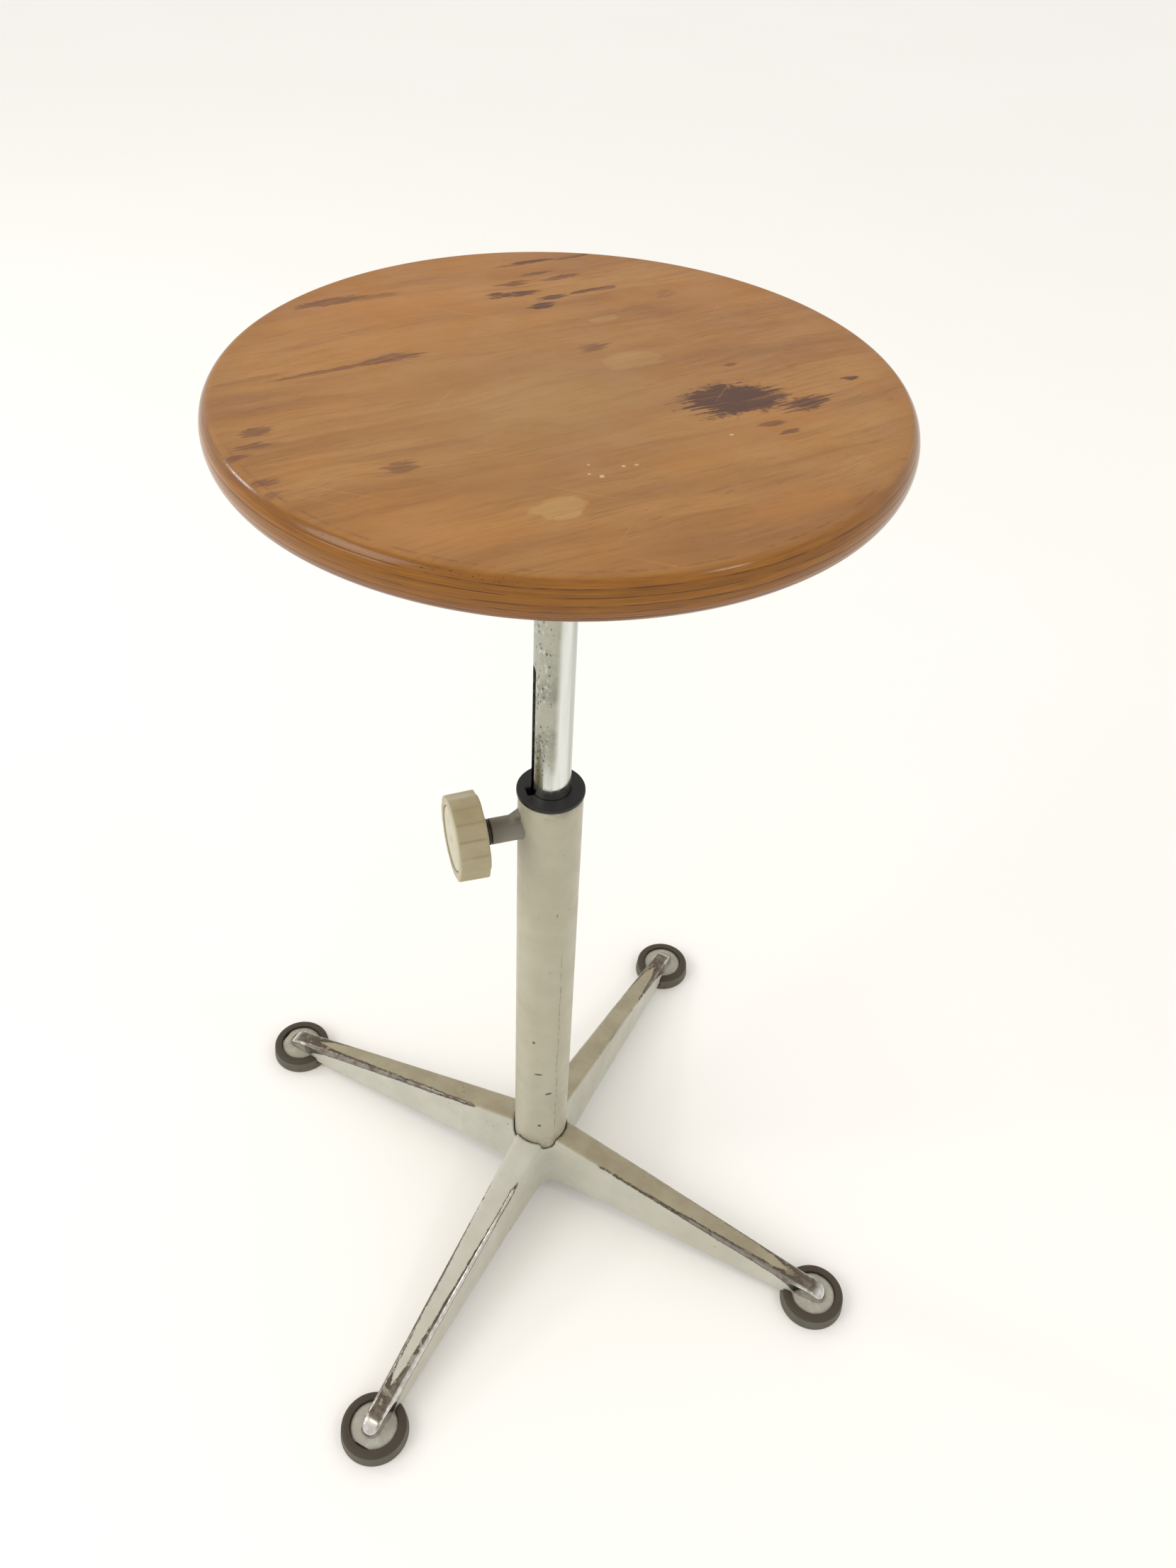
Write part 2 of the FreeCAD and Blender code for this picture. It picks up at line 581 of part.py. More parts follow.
def base_arm():
    """One solid arm along +X with its top edges rounded."""
    arm = arm_bar(ARM_ROOT, 0.0).common(arm_below_top())
    top_edges = []
    for edge in arm.Edges:
        middle = edge.valueAt((edge.FirstParameter + edge.LastParameter) / 2)
        on_top = abs(middle.z - arm_top(middle.x)) < 0.3
        if on_top and middle.x > ARM_ROOT + 1.0:
            top_edges.append(edge)
    return arm.makeFillet(ARM_EDGE_RADIUS, top_edges).common(nose_dip())


def arm_hollow():
    """The channel under an arm, open downwards, from beside the column socket to the foot."""
    start = COLUMN_RADIUS + ARM_WALL
    stop = FOOT_CIRCLE_RADIUS - FOOT_RADIUS - 8.0
    below = -1.0
    points = [Vector(start, 0, below), Vector(stop, 0, below), Vector(stop, 0, arm_top(stop) - ARM_ROOF),
              Vector(start, 0, arm_top(start) - ARM_ROOF)]
    return arm_bar(start - 1.0, ARM_WALL).common(slab_of(Part.makePolygon(points + points[:1]).Edges))


def corner_outline(height):
    """Plan outline of the web between two arms, with its round concave side."""
    half = arm_half_width(0.0, height)
    slant = math.sqrt(1 + ARM_TAPER ** 2)
    centre = (HUB_FILLET_RADIUS * slant + half) / (1 - ARM_TAPER)
    touch_x = centre + HUB_FILLET_RADIUS * ARM_TAPER / slant
    touch_y = centre - HUB_FILLET_RADIUS / slant
    middle = centre - HUB_FILLET_RADIUS / math.sqrt(2)
    first = Vector(touch_x, touch_y, height)
    last = Vector(touch_y, touch_x, height)
    corners = [last, Vector(ARM_ROOT, touch_x, height), Vector(ARM_ROOT, ARM_ROOT, height),
               Vector(touch_x, ARM_ROOT, height), first]
    edges = [Part.Arc(first, Vector(middle, middle, height), last).toShape()]
    return edges + [Part.makeLine(a, b) for a, b in zip(corners[:-1], corners[1:])]


def corner_web():
    """The blended web that fills the corner between the +X and +Y arms."""
    web = drafted(corner_outline(0), corner_outline(LOFT_HEIGHT))
    reach = 2 * (HUB_FILLET_RADIUS + ARM_HALF_WIDTH)
    limit = turned([(0, ARM_SKIRT_HUB), (reach, ARM_SKIRT_HUB), (reach, HUB_CORNER_TOP + ARM_SLOPE * reach),
                    (0, HUB_CORNER_TOP)])
    return web.common(limit)


def foot_pad():
    """The round pad cast on an arm's tip, with the rim that the rubber foot grips."""
    low = FOOT_FLOOR + 0.1
    pad = turned([(0, low), (PAD_FLANGE_RADIUS, low), (PAD_FLANGE_RADIUS, PAD_FLANGE_TOP),
                  (PAD_DISC_RADIUS, PAD_FLANGE_TOP), (PAD_DISC_RADIUS, 10.4), (11.0, 11.6), (0, 12.4)])
    pad.translate(Vector(FOOT_CIRCLE_RADIUS, 0, 0))
    return pad


def base_casting():
    """Four-arm base casting: arms, blended hub, column socket, web and foot pads."""
    arm = base_arm().fuse(foot_pad())
    step = 360.0 / ARM_COUNT
    web = corner_web()
    core = cylinder(COLUMN_RADIUS + 1.5, ARM_SKIRT_HUB, HUB_CORNER_HEIGHT - 3)
    body = fused([core] + [spun(shape, step * k) for k in range(ARM_COUNT) for shape in (arm, web)])
    for k in range(ARM_COUNT):
        body = body.cut(spun(arm_hollow(), step * k))
    body = body.cut(cylinder(HUB_CAVITY_RADIUS, 0, HUB_WEB_BOTTOM))
    body = body.cut(cylinder(COLUMN_RADIUS + RUNNING_CLEARANCE, COLUMN_BOTTOM, LOFT_HEIGHT))
    body = body.cut(cylinder(HUB_GAP_RADIUS, HUB_CORNER_HEIGHT - HUB_GAP_DEPTH, LOFT_HEIGHT))
    body = body.cut(cylinder(BASE_BOLT_RADIUS + 0.5, 0, COLUMN_BOTTOM + 1))
    return body.removeSplitter()


def rubber_foot():
    """One rubber shoe at the origin: floor, gripping lip, and a gap where the arm (+X side in) passes."""
    rim = FOOT_EDGE_RADIUS
    shoulder = FOOT_HEIGHT - rim
    slope = math.radians(45)
    mid_r = FOOT_TOP_RADIUS - rim + rim * math.cos(slope)
    mid_z = shoulder + rim * math.sin(slope)
    lip = PAD_DISC_RADIUS + 0.1
    groove = PAD_FLANGE_RADIUS + 0.1
    start = Vector(FOOT_TOP_RADIUS, 0, shoulder)
    end = Vector(FOOT_TOP_RADIUS - rim, 0, FOOT_HEIGHT)
    points = [end, Vector(lip, 0, FOOT_HEIGHT), Vector(lip, 0, PAD_FLANGE_TOP + 0.1),
              Vector(groove, 0, PAD_FLANGE_TOP + 0.1), Vector(groove, 0, FOOT_FLOOR), Vector(0, 0, FOOT_FLOOR),
              Vector(0, 0, 0), Vector(FOOT_RADIUS - 0.8, 0, 0), Vector(FOOT_RADIUS, 0, 0.8), start]
    edges = [Part.makeLine(a, b) for a, b in zip(points[:-1], points[1:])]
    edges.append(Part.Arc(start, Vector(mid_r, 0, mid_z), end).toShape())
    shoe = Part.Face(Part.Wire(edges)).revolve(Vector(0, 0, 0), Vector(0, 0, 1), 360)
    half = arm_half_width(FOOT_CIRCLE_RADIUS - FOOT_RADIUS, ARM_SKIRT_TIP) + 0.3
    return shoe.cut(box((-FOOT_RADIUS - 1, -half, FOOT_FLOOR), (-PAD_DISC_RADIUS + 6, half, FOOT_HEIGHT + 1)))


def placed_foot(degrees):
    """The shoe moved out to one arm's tip."""
    shoe = rubber_foot()
    shoe.translate(Vector(FOOT_CIRCLE_RADIUS, 0, 0))
    return spun(shoe, degrees)


def base_bolt():
    """Hexagon bolt that pulls the column down into the base."""
    head_top = HUB_WEB_BOTTOM - 2 * WASHER_THICKNESS
    head = hexagon(BASE_BOLT_HEAD_FLATS, head_top - BASE_BOLT_HEAD_HEIGHT, head_top)
    crown = turned([(0, head_top - BASE_BOLT_HEAD_HEIGHT), (8.2, head_top - BASE_BOLT_HEAD_HEIGHT),
                    (10.2, head_top - BASE_BOLT_HEAD_HEIGHT + 1.2), (10.2, head_top), (0, head_top)])
    shank = cylinder(BASE_BOLT_RADIUS, head_top, head_top + BASE_BOLT_LENGTH)
    return fused([head.common(crown), shank])


def base_washer():
    """Wide plain washer under the base's web."""
    return ring(WASHER_RADIUS, BASE_BOLT_RADIUS + 0.4, HUB_WEB_BOTTOM - WASHER_THICKNESS, HUB_WEB_BOTTOM)


def base_lock_washer():
    """Split spring washer between the bolt's head and the plain washer."""
    top = HUB_WEB_BOTTOM - WASHER_THICKNESS
    washer = ring(LOCK_WASHER_RADIUS, BASE_BOLT_RADIUS + 0.3, top - WASHER_THICKNESS, top)
    split = box((0, -0.5, top - WASHER_THICKNESS - 1), (LOCK_WASHER_RADIUS + 1, 0.5, top + 1))
    return washer.cut(split)


# ---- every node ---------------------------------------------------------------------------
def nodes():
    """All the pieces, by node name."""
    made = {
        "seat_disc": seat_disc(),
        "seat_flange": seat_flange(),
        "seat_screws": seat_screws(),
        "swivel_housing": swivel_housing(),
        "upper_swivel_bush": swivel_bush(FLANGE_BOTTOM - BUSH_LENGTH),
        "lower_swivel_bush": swivel_bush(HOUSING_BOTTOM),
        "thrust_washer": thrust_washer(),
        "seat_spindle": seat_spindle(),
        "spindle_washer": spindle_washer(),
        "spindle_circlip": spindle_circlip(),
        "spindle_pin": spindle_pin(),
        "inner_tube": inner_tube(),
        "guide_bush": guide_bush(),
        "guide_pin": guide_pin(),
        "collar_bush": collar_bush(),
        "column_tube": column_tube(),
        "column_plug": column_plug(),
        "clamp_boss": clamp_boss(),
        "pressure_pad": pressure_pad(),
        "clamp_screw": clamp_screw(),
        "screw_collar": screw_collar(),
        "clamp_knob": clamp_knob(),
        "knob_cap": knob_cap(),
        "base_casting": base_casting(),
        "base_bolt": base_bolt(),
        "base_washer": base_washer(),
        "base_lock_washer": base_lock_washer(),
    }
    for name, degrees in (("right", 0), ("back", 90), ("left", 180), ("front", -90)):
        made["foot_" + name] = placed_foot(degrees)
    return made


def main():
    os.makedirs("parts", exist_ok=True)
    for name, shape in nodes().items():
        if not shape.isValid():
            raise ValueError(name + " is not a valid solid")
        shape.exportStep(os.path.join("parts", name + ".step"))
        print(name, len(shape.Solids), round(shape.Volume, 1))


main()
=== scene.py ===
"""Looks of the adjustable swivel stool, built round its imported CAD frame. Metres, +Z up."""

import json
import math

import bpy
import numpy as np
from mathutils import Matrix, Vector


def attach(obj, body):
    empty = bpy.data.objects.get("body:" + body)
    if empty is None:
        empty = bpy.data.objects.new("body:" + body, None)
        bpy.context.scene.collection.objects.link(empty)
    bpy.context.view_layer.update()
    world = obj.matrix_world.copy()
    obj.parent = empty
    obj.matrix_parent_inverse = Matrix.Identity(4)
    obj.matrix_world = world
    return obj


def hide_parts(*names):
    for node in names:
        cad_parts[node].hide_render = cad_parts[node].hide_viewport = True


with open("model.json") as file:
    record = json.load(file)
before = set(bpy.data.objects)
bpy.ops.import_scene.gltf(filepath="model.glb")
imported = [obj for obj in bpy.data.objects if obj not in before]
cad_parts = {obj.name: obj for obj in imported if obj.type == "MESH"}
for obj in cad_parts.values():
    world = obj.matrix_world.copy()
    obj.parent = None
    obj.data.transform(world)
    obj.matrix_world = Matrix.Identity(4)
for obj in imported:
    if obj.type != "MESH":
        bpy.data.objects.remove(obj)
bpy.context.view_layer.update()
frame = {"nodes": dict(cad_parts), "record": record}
MM = 0.001

# ---- real sizes, in millimetres, as the frame has them --------------------------------------
SEAT_R, SEAT_TOP, SEAT_T = 175.0, 714.0, 22.0
EDGE_DEPTH = 7.0
GLUE_DEPTHS = (4.0, 7.4, 11.1, 14.3, 17.5)
GRAIN_AZ = 56.0
POCKET_R, POCKET_D = 24.0, 10.0

TUBE_R, TUBE_BORE = 12.5, 10.5
TUBE_Z = (215.0, 636.95)
KEY_AZ = -135.0
KEY_Z = (281.0, 539.0)
KEY_HALF = 3.0

COLUMN_R, COLUMN_BORE = 21.0, 18.4
COLUMN_Z = (34.0, 440.8)
COLLAR_R, COLLAR_TOP = 21.9, 444.0

CLAMP_Z = 415.0
BOSS_R, BOSS_END = 8.5, 40.0
KNOB_R, KNOB_BACK, KNOB_FACE = 28.4, 45.8, 65.2
KNOB_TAPER = 0.5
GUSSET_REACH, GUSSET_RISE = 6.5, 4.6
CAP_R = 21.5

ARM_H0, ARM_H1, ARM_DRAFT = 14.4, -0.0279, 0.035
ARM_TOP, ARM_SLOPE = 74.6, -0.2146
NOSE_X, NOSE_SHOULDER, NOSE_DIP = 251.2, 244.5, 22.0
FOOT_X, FOOT_R, FOOT_TOP_R, FOOT_H = 248.3, 25.0, 24.0, 12.4
PAD_R, PAD_FLANGE_R, PAD_FLANGE_TOP = 17.5, 18.7, 8.0
SHOE_FLOOR = 4.5
HUB_WEB_TOP, HUB_FILLET = 68.3, 16.5
HUB_CAVITY_R, HUB_CAVITY_TOP = 18.0, 26.0
ARM_SKIRT_HUB, ARM_SKIRT_TIP = 17.0, 6.0
CLAMP_HOLE_R = 5.3


# ---- mesh tools -------------------------------------------------------------------------------
def add_object(name, verts, faces, body, slot, stands_for, smooth=True):
    """A mesh piece from millimetre points, riding on a body and standing for CAD nodes."""
    mesh = bpy.data.meshes.new(name)
    mesh.from_pydata([tuple(v) for v in np.asarray(verts, float) * MM], [], [tuple(f) for f in faces])
    mesh.validate()
    mesh.polygons.foreach_set("use_smooth", [smooth] * len(mesh.polygons))
    mesh.update()
    piece = bpy.data.objects.new(name, mesh)
    bpy.context.scene.collection.objects.link(piece)
    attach(piece, body)
    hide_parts(*stands_for)
    paint(piece, slot)
    return piece


def store(piece, name, values):
    """A per-point value that the material reads by name."""
    layer = piece.data.attributes.new(name, "FLOAT", "POINT")
    layer.data.foreach_set("value", np.asarray(values, np.float32))


def surface_net(field, low, high, step):
    """A quad mesh of the surface where field(x, y, z) is zero, its points moved onto that surface."""
    step = np.array(step, float) * np.ones(3)
    axes = [np.arange(a - 2 * s, b + 3 * s, s) for a, b, s in zip(low, high, step)]
    grid = np.meshgrid(*axes, indexing="ij")
    values = field(*grid).astype(np.float32)
    del grid
    inside = values < 0
    corners = [(i, j, k) for i in (0, 1) for j in (0, 1) for k in (0, 1)]
    count = np.zeros([n - 1 for n in values.shape], np.int8)
    for i, j, k in corners:
        count += inside[i:inside.shape[0] - 1 + i, j:inside.shape[1] - 1 + j, k:inside.shape[2] - 1 + k]
    cells = np.argwhere((count > 0) & (count < 8))
    number = np.full(count.shape, -1, np.int64)
    number[tuple(cells.T)] = np.arange(len(cells))
    total = np.zeros((len(cells), 3))
    hits = np.zeros(len(cells))
    for first in corners:
        for axis in range(3):
            if first[axis]:
                continue
            second = list(first)
            second[axis] = 1
            a = values[tuple((cells + first).T)]
            b = values[tuple((cells + second).T)]
            cross = (a < 0) != (b < 0)
            part = np.where(cross, a / np.where(cross, a - b, 1.0), 0.0)
            spot = np.array(first, float) * cross[:, None]
            spot[:, axis] += part
            total += spot
            hits += cross
    points = (cells + total / hits[:, None]) * step + [a[0] for a in axes]
    quads = []
    for axis in range(3):
        u, v = (axis + 1) % 3, (axis + 2) % 3
        shift = [0, 0, 0]
        shift[axis] = 1
        head = tuple(slice(shift[n], None) for n in range(3))
        tail = tuple(slice(None, -1) if n == axis else slice(None) for n in range(3))
        change = inside[head].astype(np.int8) - inside[tail].astype(np.int8)
        spots = np.argwhere(change != 0)
        keep = (spots[:, u] > 0) & (spots[:, v] > 0)
        keep &= (spots[:, u] < count.shape[u]) & (spots[:, v] < count.shape[v])
        spots = spots[keep]
        way = change[tuple(spots.T)]
        ring = []
        for du, dv in ((-1, -1), (0, -1), (0, 0), (-1, 0)):
            cell = spots.copy()
            cell[:, u] += du
            cell[:, v] += dv
            ring.append(number[tuple(cell.T)])
        ring = np.stack(ring, 1)
        ring[way > 0] = ring[way > 0][:, ::-1]
        quads.append(ring)
    quads = np.concatenate(quads)
    for _ in range(4):
        points = on_surface(field, points, 0.5 * step.min())
    return points, quads


def on_surface(field, points, most):
    """Points moved along the field's gradient towards its zero surface, each by a limited amount."""
    x, y, z = points.T
    h = 0.02
    value = field(x, y, z)
    slope = np.stack([field(x + h, y, z) - field(x - h, y, z), field(x, y + h, z) - field(x, y - h, z),
                      field(x, y, z + h) - field(x, y, z - h)], 1) / (2 * h)
    size = np.maximum((slope ** 2).sum(1), 0.05)
    move = -(value / size)[:, None] * slope
    length = np.linalg.norm(move, axis=1)
    return points + move * np.minimum(1, most / np.maximum(length, 1e-9))[:, None]


def both(a, b, radius):
    """The part inside both fields, with a rounded edge between them."""
    corner = np.hypot(np.maximum(radius + a, 0), np.maximum(radius + b, 0))
    return np.minimum(-radius, np.maximum(a, b)) + corner


def either(a, b, radius):
    """The part inside either field, with a round fillet between them."""
    corner = np.hypot(np.maximum(radius - a, 0), np.maximum(radius - b, 0))
    return np.maximum(radius, np.minimum(a, b)) - corner


def without(a, b, radius):
    """Field a with field b taken out of it."""
    return both(a, -b, radius)


def slab(value, low, high):
    """Between two levels."""
    return np.maximum(low - value, value - high)


def disc(radius_here, radius, z, low, high, edge):
    """A round plate or rod with rounded rims."""
    return both(radius_here - radius, slab(z, low, high), edge)


def lathe(profile, segments, start=0.0):
    """A closed surface of revolution about Z from (radius, height) points, poles where radius is 0."""
    verts, rows = [], []
    for radius, height in profile:
        if radius < 1e-6:
            rows.append([len(verts)])
            verts.append((0, 0, height))
            continue
        angles = np.arange(segments) * 2 * math.pi / segments + start
        rows.append(list(range(len(verts), len(verts) + segments)))
        verts += [(radius * math.cos(a), radius * math.sin(a), height) for a in angles]
    faces = []
    for a, b in zip(rows[:-1], rows[1:]):
        for k in range(segments):
            n = (k + 1) % segments
            if len(a) == 1:
                faces.append((a[0], b[n], b[k]))
            elif len(b) == 1:
                faces.append((a[k], a[n], b[0]))
            else:
                faces.append((a[k], a[n], b[n], b[k]))
    if len(rows[0]) > 1:
        for k in range(segments):
            n = (k + 1) % segments
            faces.append((rows[-1][k], rows[-1][n], rows[0][n], rows[0][k]))
    return np.array(verts, float), faces


def bend_path(points, radius, steps=4):
    """A polyline whose corners are rounded off by up to a radius."""
    out = [points[0]]
    for a, b, c in zip(points[:-2], points[1:-1], points[2:]):
        a, b, c = np.array(a, float), np.array(b, float), np.array(c, float)
        back = min(radius, 0.45 * np.linalg.norm(a - b), 0.45 * np.linalg.norm(c - b))
        p = b + (a - b) / max(np.linalg.norm(a - b), 1e-9) * back
        q = b + (c - b) / max(np.linalg.norm(c - b), 1e-9) * back
        for k in range(steps + 1):
            t = k / steps
            out.append(tuple((1 - t) ** 2 * p + 2 * t * (1 - t) * b + t ** 2 * q))
    out.append(points[-1])
    return out


CLAMP_TURN = Matrix.Rotation(math.radians(KEY_AZ), 3, "Z") @ Matrix.Rotation(math.radians(90), 3, "Y")


def lay_on_clamp(points):
    """Points built upright on Z, laid along the clamp screw's axis."""
    turn = np.array(CLAMP_TURN)
    return points @ turn.T + [0, 0, CLAMP_Z]


def turned(points, degrees):
    """Points turned about the column axis."""
    a = math.radians(degrees)
    turn = np.array([[math.cos(a), -math.sin(a), 0], [math.sin(a), math.cos(a), 0], [0, 0, 1]])
    return points @ turn.T


# ---- node tools -------------------------------------------------------------------------------
class Graph:
    """Builds one material's node tree."""

    def __init__(self, name):
        self.material = bpy.data.materials.new(name)
        self.material.use_nodes = True
        self.tree = self.material.node_tree
        self.tree.nodes.clear()
        self.output = self.tree.nodes.new("ShaderNodeOutputMaterial")
        self.shader = self.tree.nodes.new("ShaderNodeBsdfPrincipled")
        self.tree.links.new(self.shader.outputs[0], self.output.inputs[0])
        coords = self.tree.nodes.new("ShaderNodeTexCoord")
        self.place = self.vector("SCALE", coords.outputs["Object"], scale=1000.0)
        parts = self.add("ShaderNodeSeparateXYZ", self.place)
        self.x, self.y, self.z = parts.outputs

    def add(self, kind, *values, **settings):
        """A node with its inputs linked or set in order; None leaves an input alone."""
        node = self.tree.nodes.new(kind)
        for key, value in settings.items():
            setattr(node, key, value)
        for socket, value in zip(node.inputs, values):
            self.join(value, socket)
        return node

    def join(self, value, socket):
        if value is None:
            return
        if isinstance(value, bpy.types.NodeSocket):
            self.tree.links.new(value, socket)
        elif socket.type == "RGBA":
            socket.default_value = (*value[:3], 1.0)
        else:
            socket.default_value = value

    def math(self, how, a, b=None, c=None, clamp=False):
        return self.add("ShaderNodeMath", a, b, c, operation=how, use_clamp=clamp).outputs[0]

    def vector(self, how, a, b=None, scale=None):
        node = self.add("ShaderNodeVectorMath", a, b, operation=how)
        if scale is not None:
            self.join(scale, node.inputs["Scale"])
        return node.outputs["Value" if how in ("LENGTH", "DISTANCE", "DOT_PRODUCT") else "Vector"]

    def times(self, a, b, **settings):
        return self.math("MULTIPLY", a, b, **settings)

    def plus(self, a, b):
        return self.math("ADD", a, b)

    def minus(self, a, b, **settings):
        return self.math("SUBTRACT", a, b, **settings)

    def larger(self, a, b):
        return self.math("MAXIMUM", a, b)

    def stretched(self, where, by):
        return self.vector("MULTIPLY", where, by)

    def combine(self, x=0.0, y=0.0, z=0.0):
        return self.add("ShaderNodeCombineXYZ", x, y, z).outputs[0]

    def attribute(self, name):
        node = self.tree.nodes.new("ShaderNodeAttribute")
        node.attribute_name = name
        return node.outputs["Fac"]

    def noise(self, where, scale, detail=4.0, rough=0.55, distortion=0.0):
        """Noise about 0 to 1, with its scale in features per millimetre."""
        node = self.tree.nodes.new("ShaderNodeTexNoise")
        self.join(where, node.inputs["Vector"])
        node.inputs["Scale"].default_value = scale
        node.inputs["Detail"].default_value = detail
        node.inputs["Roughness"].default_value = rough
        node.inputs["Distortion"].default_value = distortion
        return node.outputs["Fac"]

    def sway(self, *settings):
        """Noise about -0.5 to 0.5."""
        return self.minus(self.noise(*settings), 0.5)

    def cells(self, where, scale, feature="F1", jitter=1.0):
        node = self.tree.nodes.new("ShaderNodeTexVoronoi")
        node.feature = feature
        self.join(where, node.inputs["Vector"])
        node.inputs["Scale"].default_value = scale
        node.inputs["Randomness"].default_value = jitter
        return node

    def span(self, value, low, high, out_low=0.0, out_high=1.0, smooth=True):
        node = self.tree.nodes.new("ShaderNodeMapRange")
        node.interpolation_type = "SMOOTHSTEP" if smooth else "LINEAR"
        for socket, item in zip(node.inputs, (value, low, high, out_low, out_high)):
            self.join(item, socket)
        return node.outputs[0]

    def ramp(self, value, *stops):
        node = self.tree.nodes.new("ShaderNodeValToRGB")
        self.join(value, node.inputs[0])
        line = node.color_ramp
        while len(line.elements) < len(stops):
            line.elements.new(0.5)
        for element, (place, colour) in zip(line.elements, stops):
            element.position = place
            element.color = (*colour, 1.0)
        return node.outputs[0]

    def blend(self, amount, a, b, how="MIX"):
        node = self.tree.nodes.new("ShaderNodeMix")
        node.data_type = "RGBA"
        node.blend_type = how
        self.join(amount, node.inputs[0])
        self.join(a, node.inputs[6])
        self.join(b, node.inputs[7])
        return node.outputs[2]

    def between(self, amount, a, b):
        node = self.tree.nodes.new("ShaderNodeMix")
        node.data_type = "FLOAT"
        self.join(amount, node.inputs[0])
        self.join(a, node.inputs[2])
        self.join(b, node.inputs[3])
        return node.outputs[0]

    def turn(self, where, degrees, stretch=(1.0, 1.0, 1.0)):
        """Coordinates turned about Z, so that X runs along a direction, then stretched."""
        node = self.tree.nodes.new("ShaderNodeVectorRotate")
        node.rotation_type = "Z_AXIS"
        self.join(where, node.inputs["Vector"])
        node.inputs["Angle"].default_value = math.radians(-degrees)
        return self.vector("MULTIPLY", node.outputs[0], stretch)

    def bump(self, height, strength, depth):
        """Relief from a height of 0 to 1 over a depth in millimetres."""
        node = self.tree.nodes.new("ShaderNodeBump")
        node.inputs["Strength"].default_value = strength
        node.inputs["Distance"].default_value = depth * MM
        self.join(height, node.inputs["Height"])
        self.tree.links.new(node.outputs[0], self.shader.inputs["Normal"])

    def finish(self, colour, rough, metal=0.0, **constants):
        self.join(colour, self.shader.inputs["Base Color"])
        self.join(rough, self.shader.inputs["Roughness"])
        self.join(metal, self.shader.inputs["Metallic"])
        for key, value in constants.items():
            self.shader.inputs[key.replace("_", " ")].default_value = value
        return self.material


def srgb(r, g, b):
    """An sRGB colour of 0 to 255 as linear light."""
    return tuple(((v / 255 + 0.055) / 1.055) ** 2.4 if v > 10 else v / 255 / 12.92 for v in (r, g, b))


# ---- materials --------------------------------------------------------------------------------
# Marks on the seat: place (mm), half length along the grain, half width, darkness, raggedness.
SEAT_STAINS = (
    (76, 26, 23, 17, 1.0, 7.0), (88, 34, 17, 12, 0.9, 6.0), (110, 43, 13, 7.5, 0.8, 6.0),
    (120, 82, 4.5, 2.6, 0.8, 2.0), (62, 63, 4.0, 2.0, 0.55, 2.0), (104, 15, 8, 3.0, 0.6, 3.0),
    (114, 12, 6, 2.0, 0.6, 2.0), (-80, 94, 10, 3.4, 0.65, 5.0), (-71, 83, 9, 4.0, 0.8, 4.0),
    (-79, 75, 7, 4.0, 0.8, 3.0), (-54, 88, 11, 3.0, 0.7, 4.0), (-53, 75, 8, 4.4, 0.8, 3.0),
    (-63, 116, 13, 3.0, 0.6, 3.0), (-42, 107, 14, 2.2, 0.7, 3.0), (-35, 116, 8, 2.4, 0.6, 2.0),
    (-90, 124, 17, 2.6, 0.7, 5.0), (-78, 112, 12, 1.8, 0.6, 4.0), (-73, 145, 16, 2.4, 0.6, 4.0),
    (-4, 127, 7, 5.0, 0.4, 3.0),
    (3, 101, 12, 9.0, 0.28, 5.0), (-5, 44, 8, 5.0, 0.55, 4.0), (-150, 18, 22, 5.0, 0.6, 5.0),
    (-135, 35, 16, 3.0, 0.5, 4.0), (-103, -51, 34, 2.0, 0.6, 4.0), (-86, -24, 17, 5.0, 0.6, 5.0),
    (-128, -78, 20, 2.6, 0.4, 4.0), (-93, -118, 9, 4.5, 0.6, 4.0), (-86, -130, 9, 3.5, 0.6, 4.0),
    (-88, -145, 10, 3.0, 0.6, 4.0), (-63, -153, 5, 4.0, 0.6, 4.0), (-55, -161, 6, 3.0, 0.5, 3.0),
    (-21, -111, 9, 5.5, 0.55, 3.0),
)
PALE_MARKS = ((55, -105, 13, 9, 0.58), (18, 40, 16, 10, 0.28), (-17, 78, 9, 4, 0.34), (0, -20, 60, 38, 0.25))
PALE_SPECKS = ((41, -60), (44, -57), (62, -59), (66, -55), (52, -73), (58, -72), (92, -6), (48, -66))


GRAIN_COS, GRAIN_SIN = math.cos(math.radians(GRAIN_AZ)), math.sin(math.radians(GRAIN_AZ))
WOOD_DARK, WOOD_MID, WOOD_LIGHT = srgb(136, 89, 40), srgb(155, 105, 48), srgb(168, 119, 60)
WOOD_LINE, WOOD_ORANGE, WOOD_WORN = srgb(88, 54, 22), srgb(172, 112, 44), srgb(150, 113, 64)
WOOD_RIM, WOOD_PALE = srgb(142, 92, 34), srgb(184, 148, 92)
EDGE_GOLD, EDGE_BROWN, EDGE_RED = srgb(146, 92, 16), srgb(116, 70, 12), srgb(112, 60, 12)
EDGE_LINE, EDGE_LIGHT = srgb(84, 48, 12), srgb(178, 122, 44)


# Chips on the column: place (mm), then how wide and tall.
COLUMN_CHIPS = (
    (7.2, -19.7, 164.0, 3.2, 1.2), (14.1, -15.5, 138.0, 2.6, 1.3), (8.8, -19.0, 94.7, 1.4, 1.6),
    (3.0, -20.8, 203.0, 1.0, 1.6),
)


def grain_reach(g, where, x, y, half_long, half_wide):
    """How far a place is from a mark, as a share of the mark's half size along and across the grain."""
    along, across = GRAIN_COS * x + GRAIN_SIN * y, GRAIN_COS * y - GRAIN_SIN * x
    away = g.vector("SUBTRACT", where, (along, across, SEAT_TOP))
    return g.vector("LENGTH", g.stretched(away, (1 / half_long, 1 / half_wide, 0.0)))


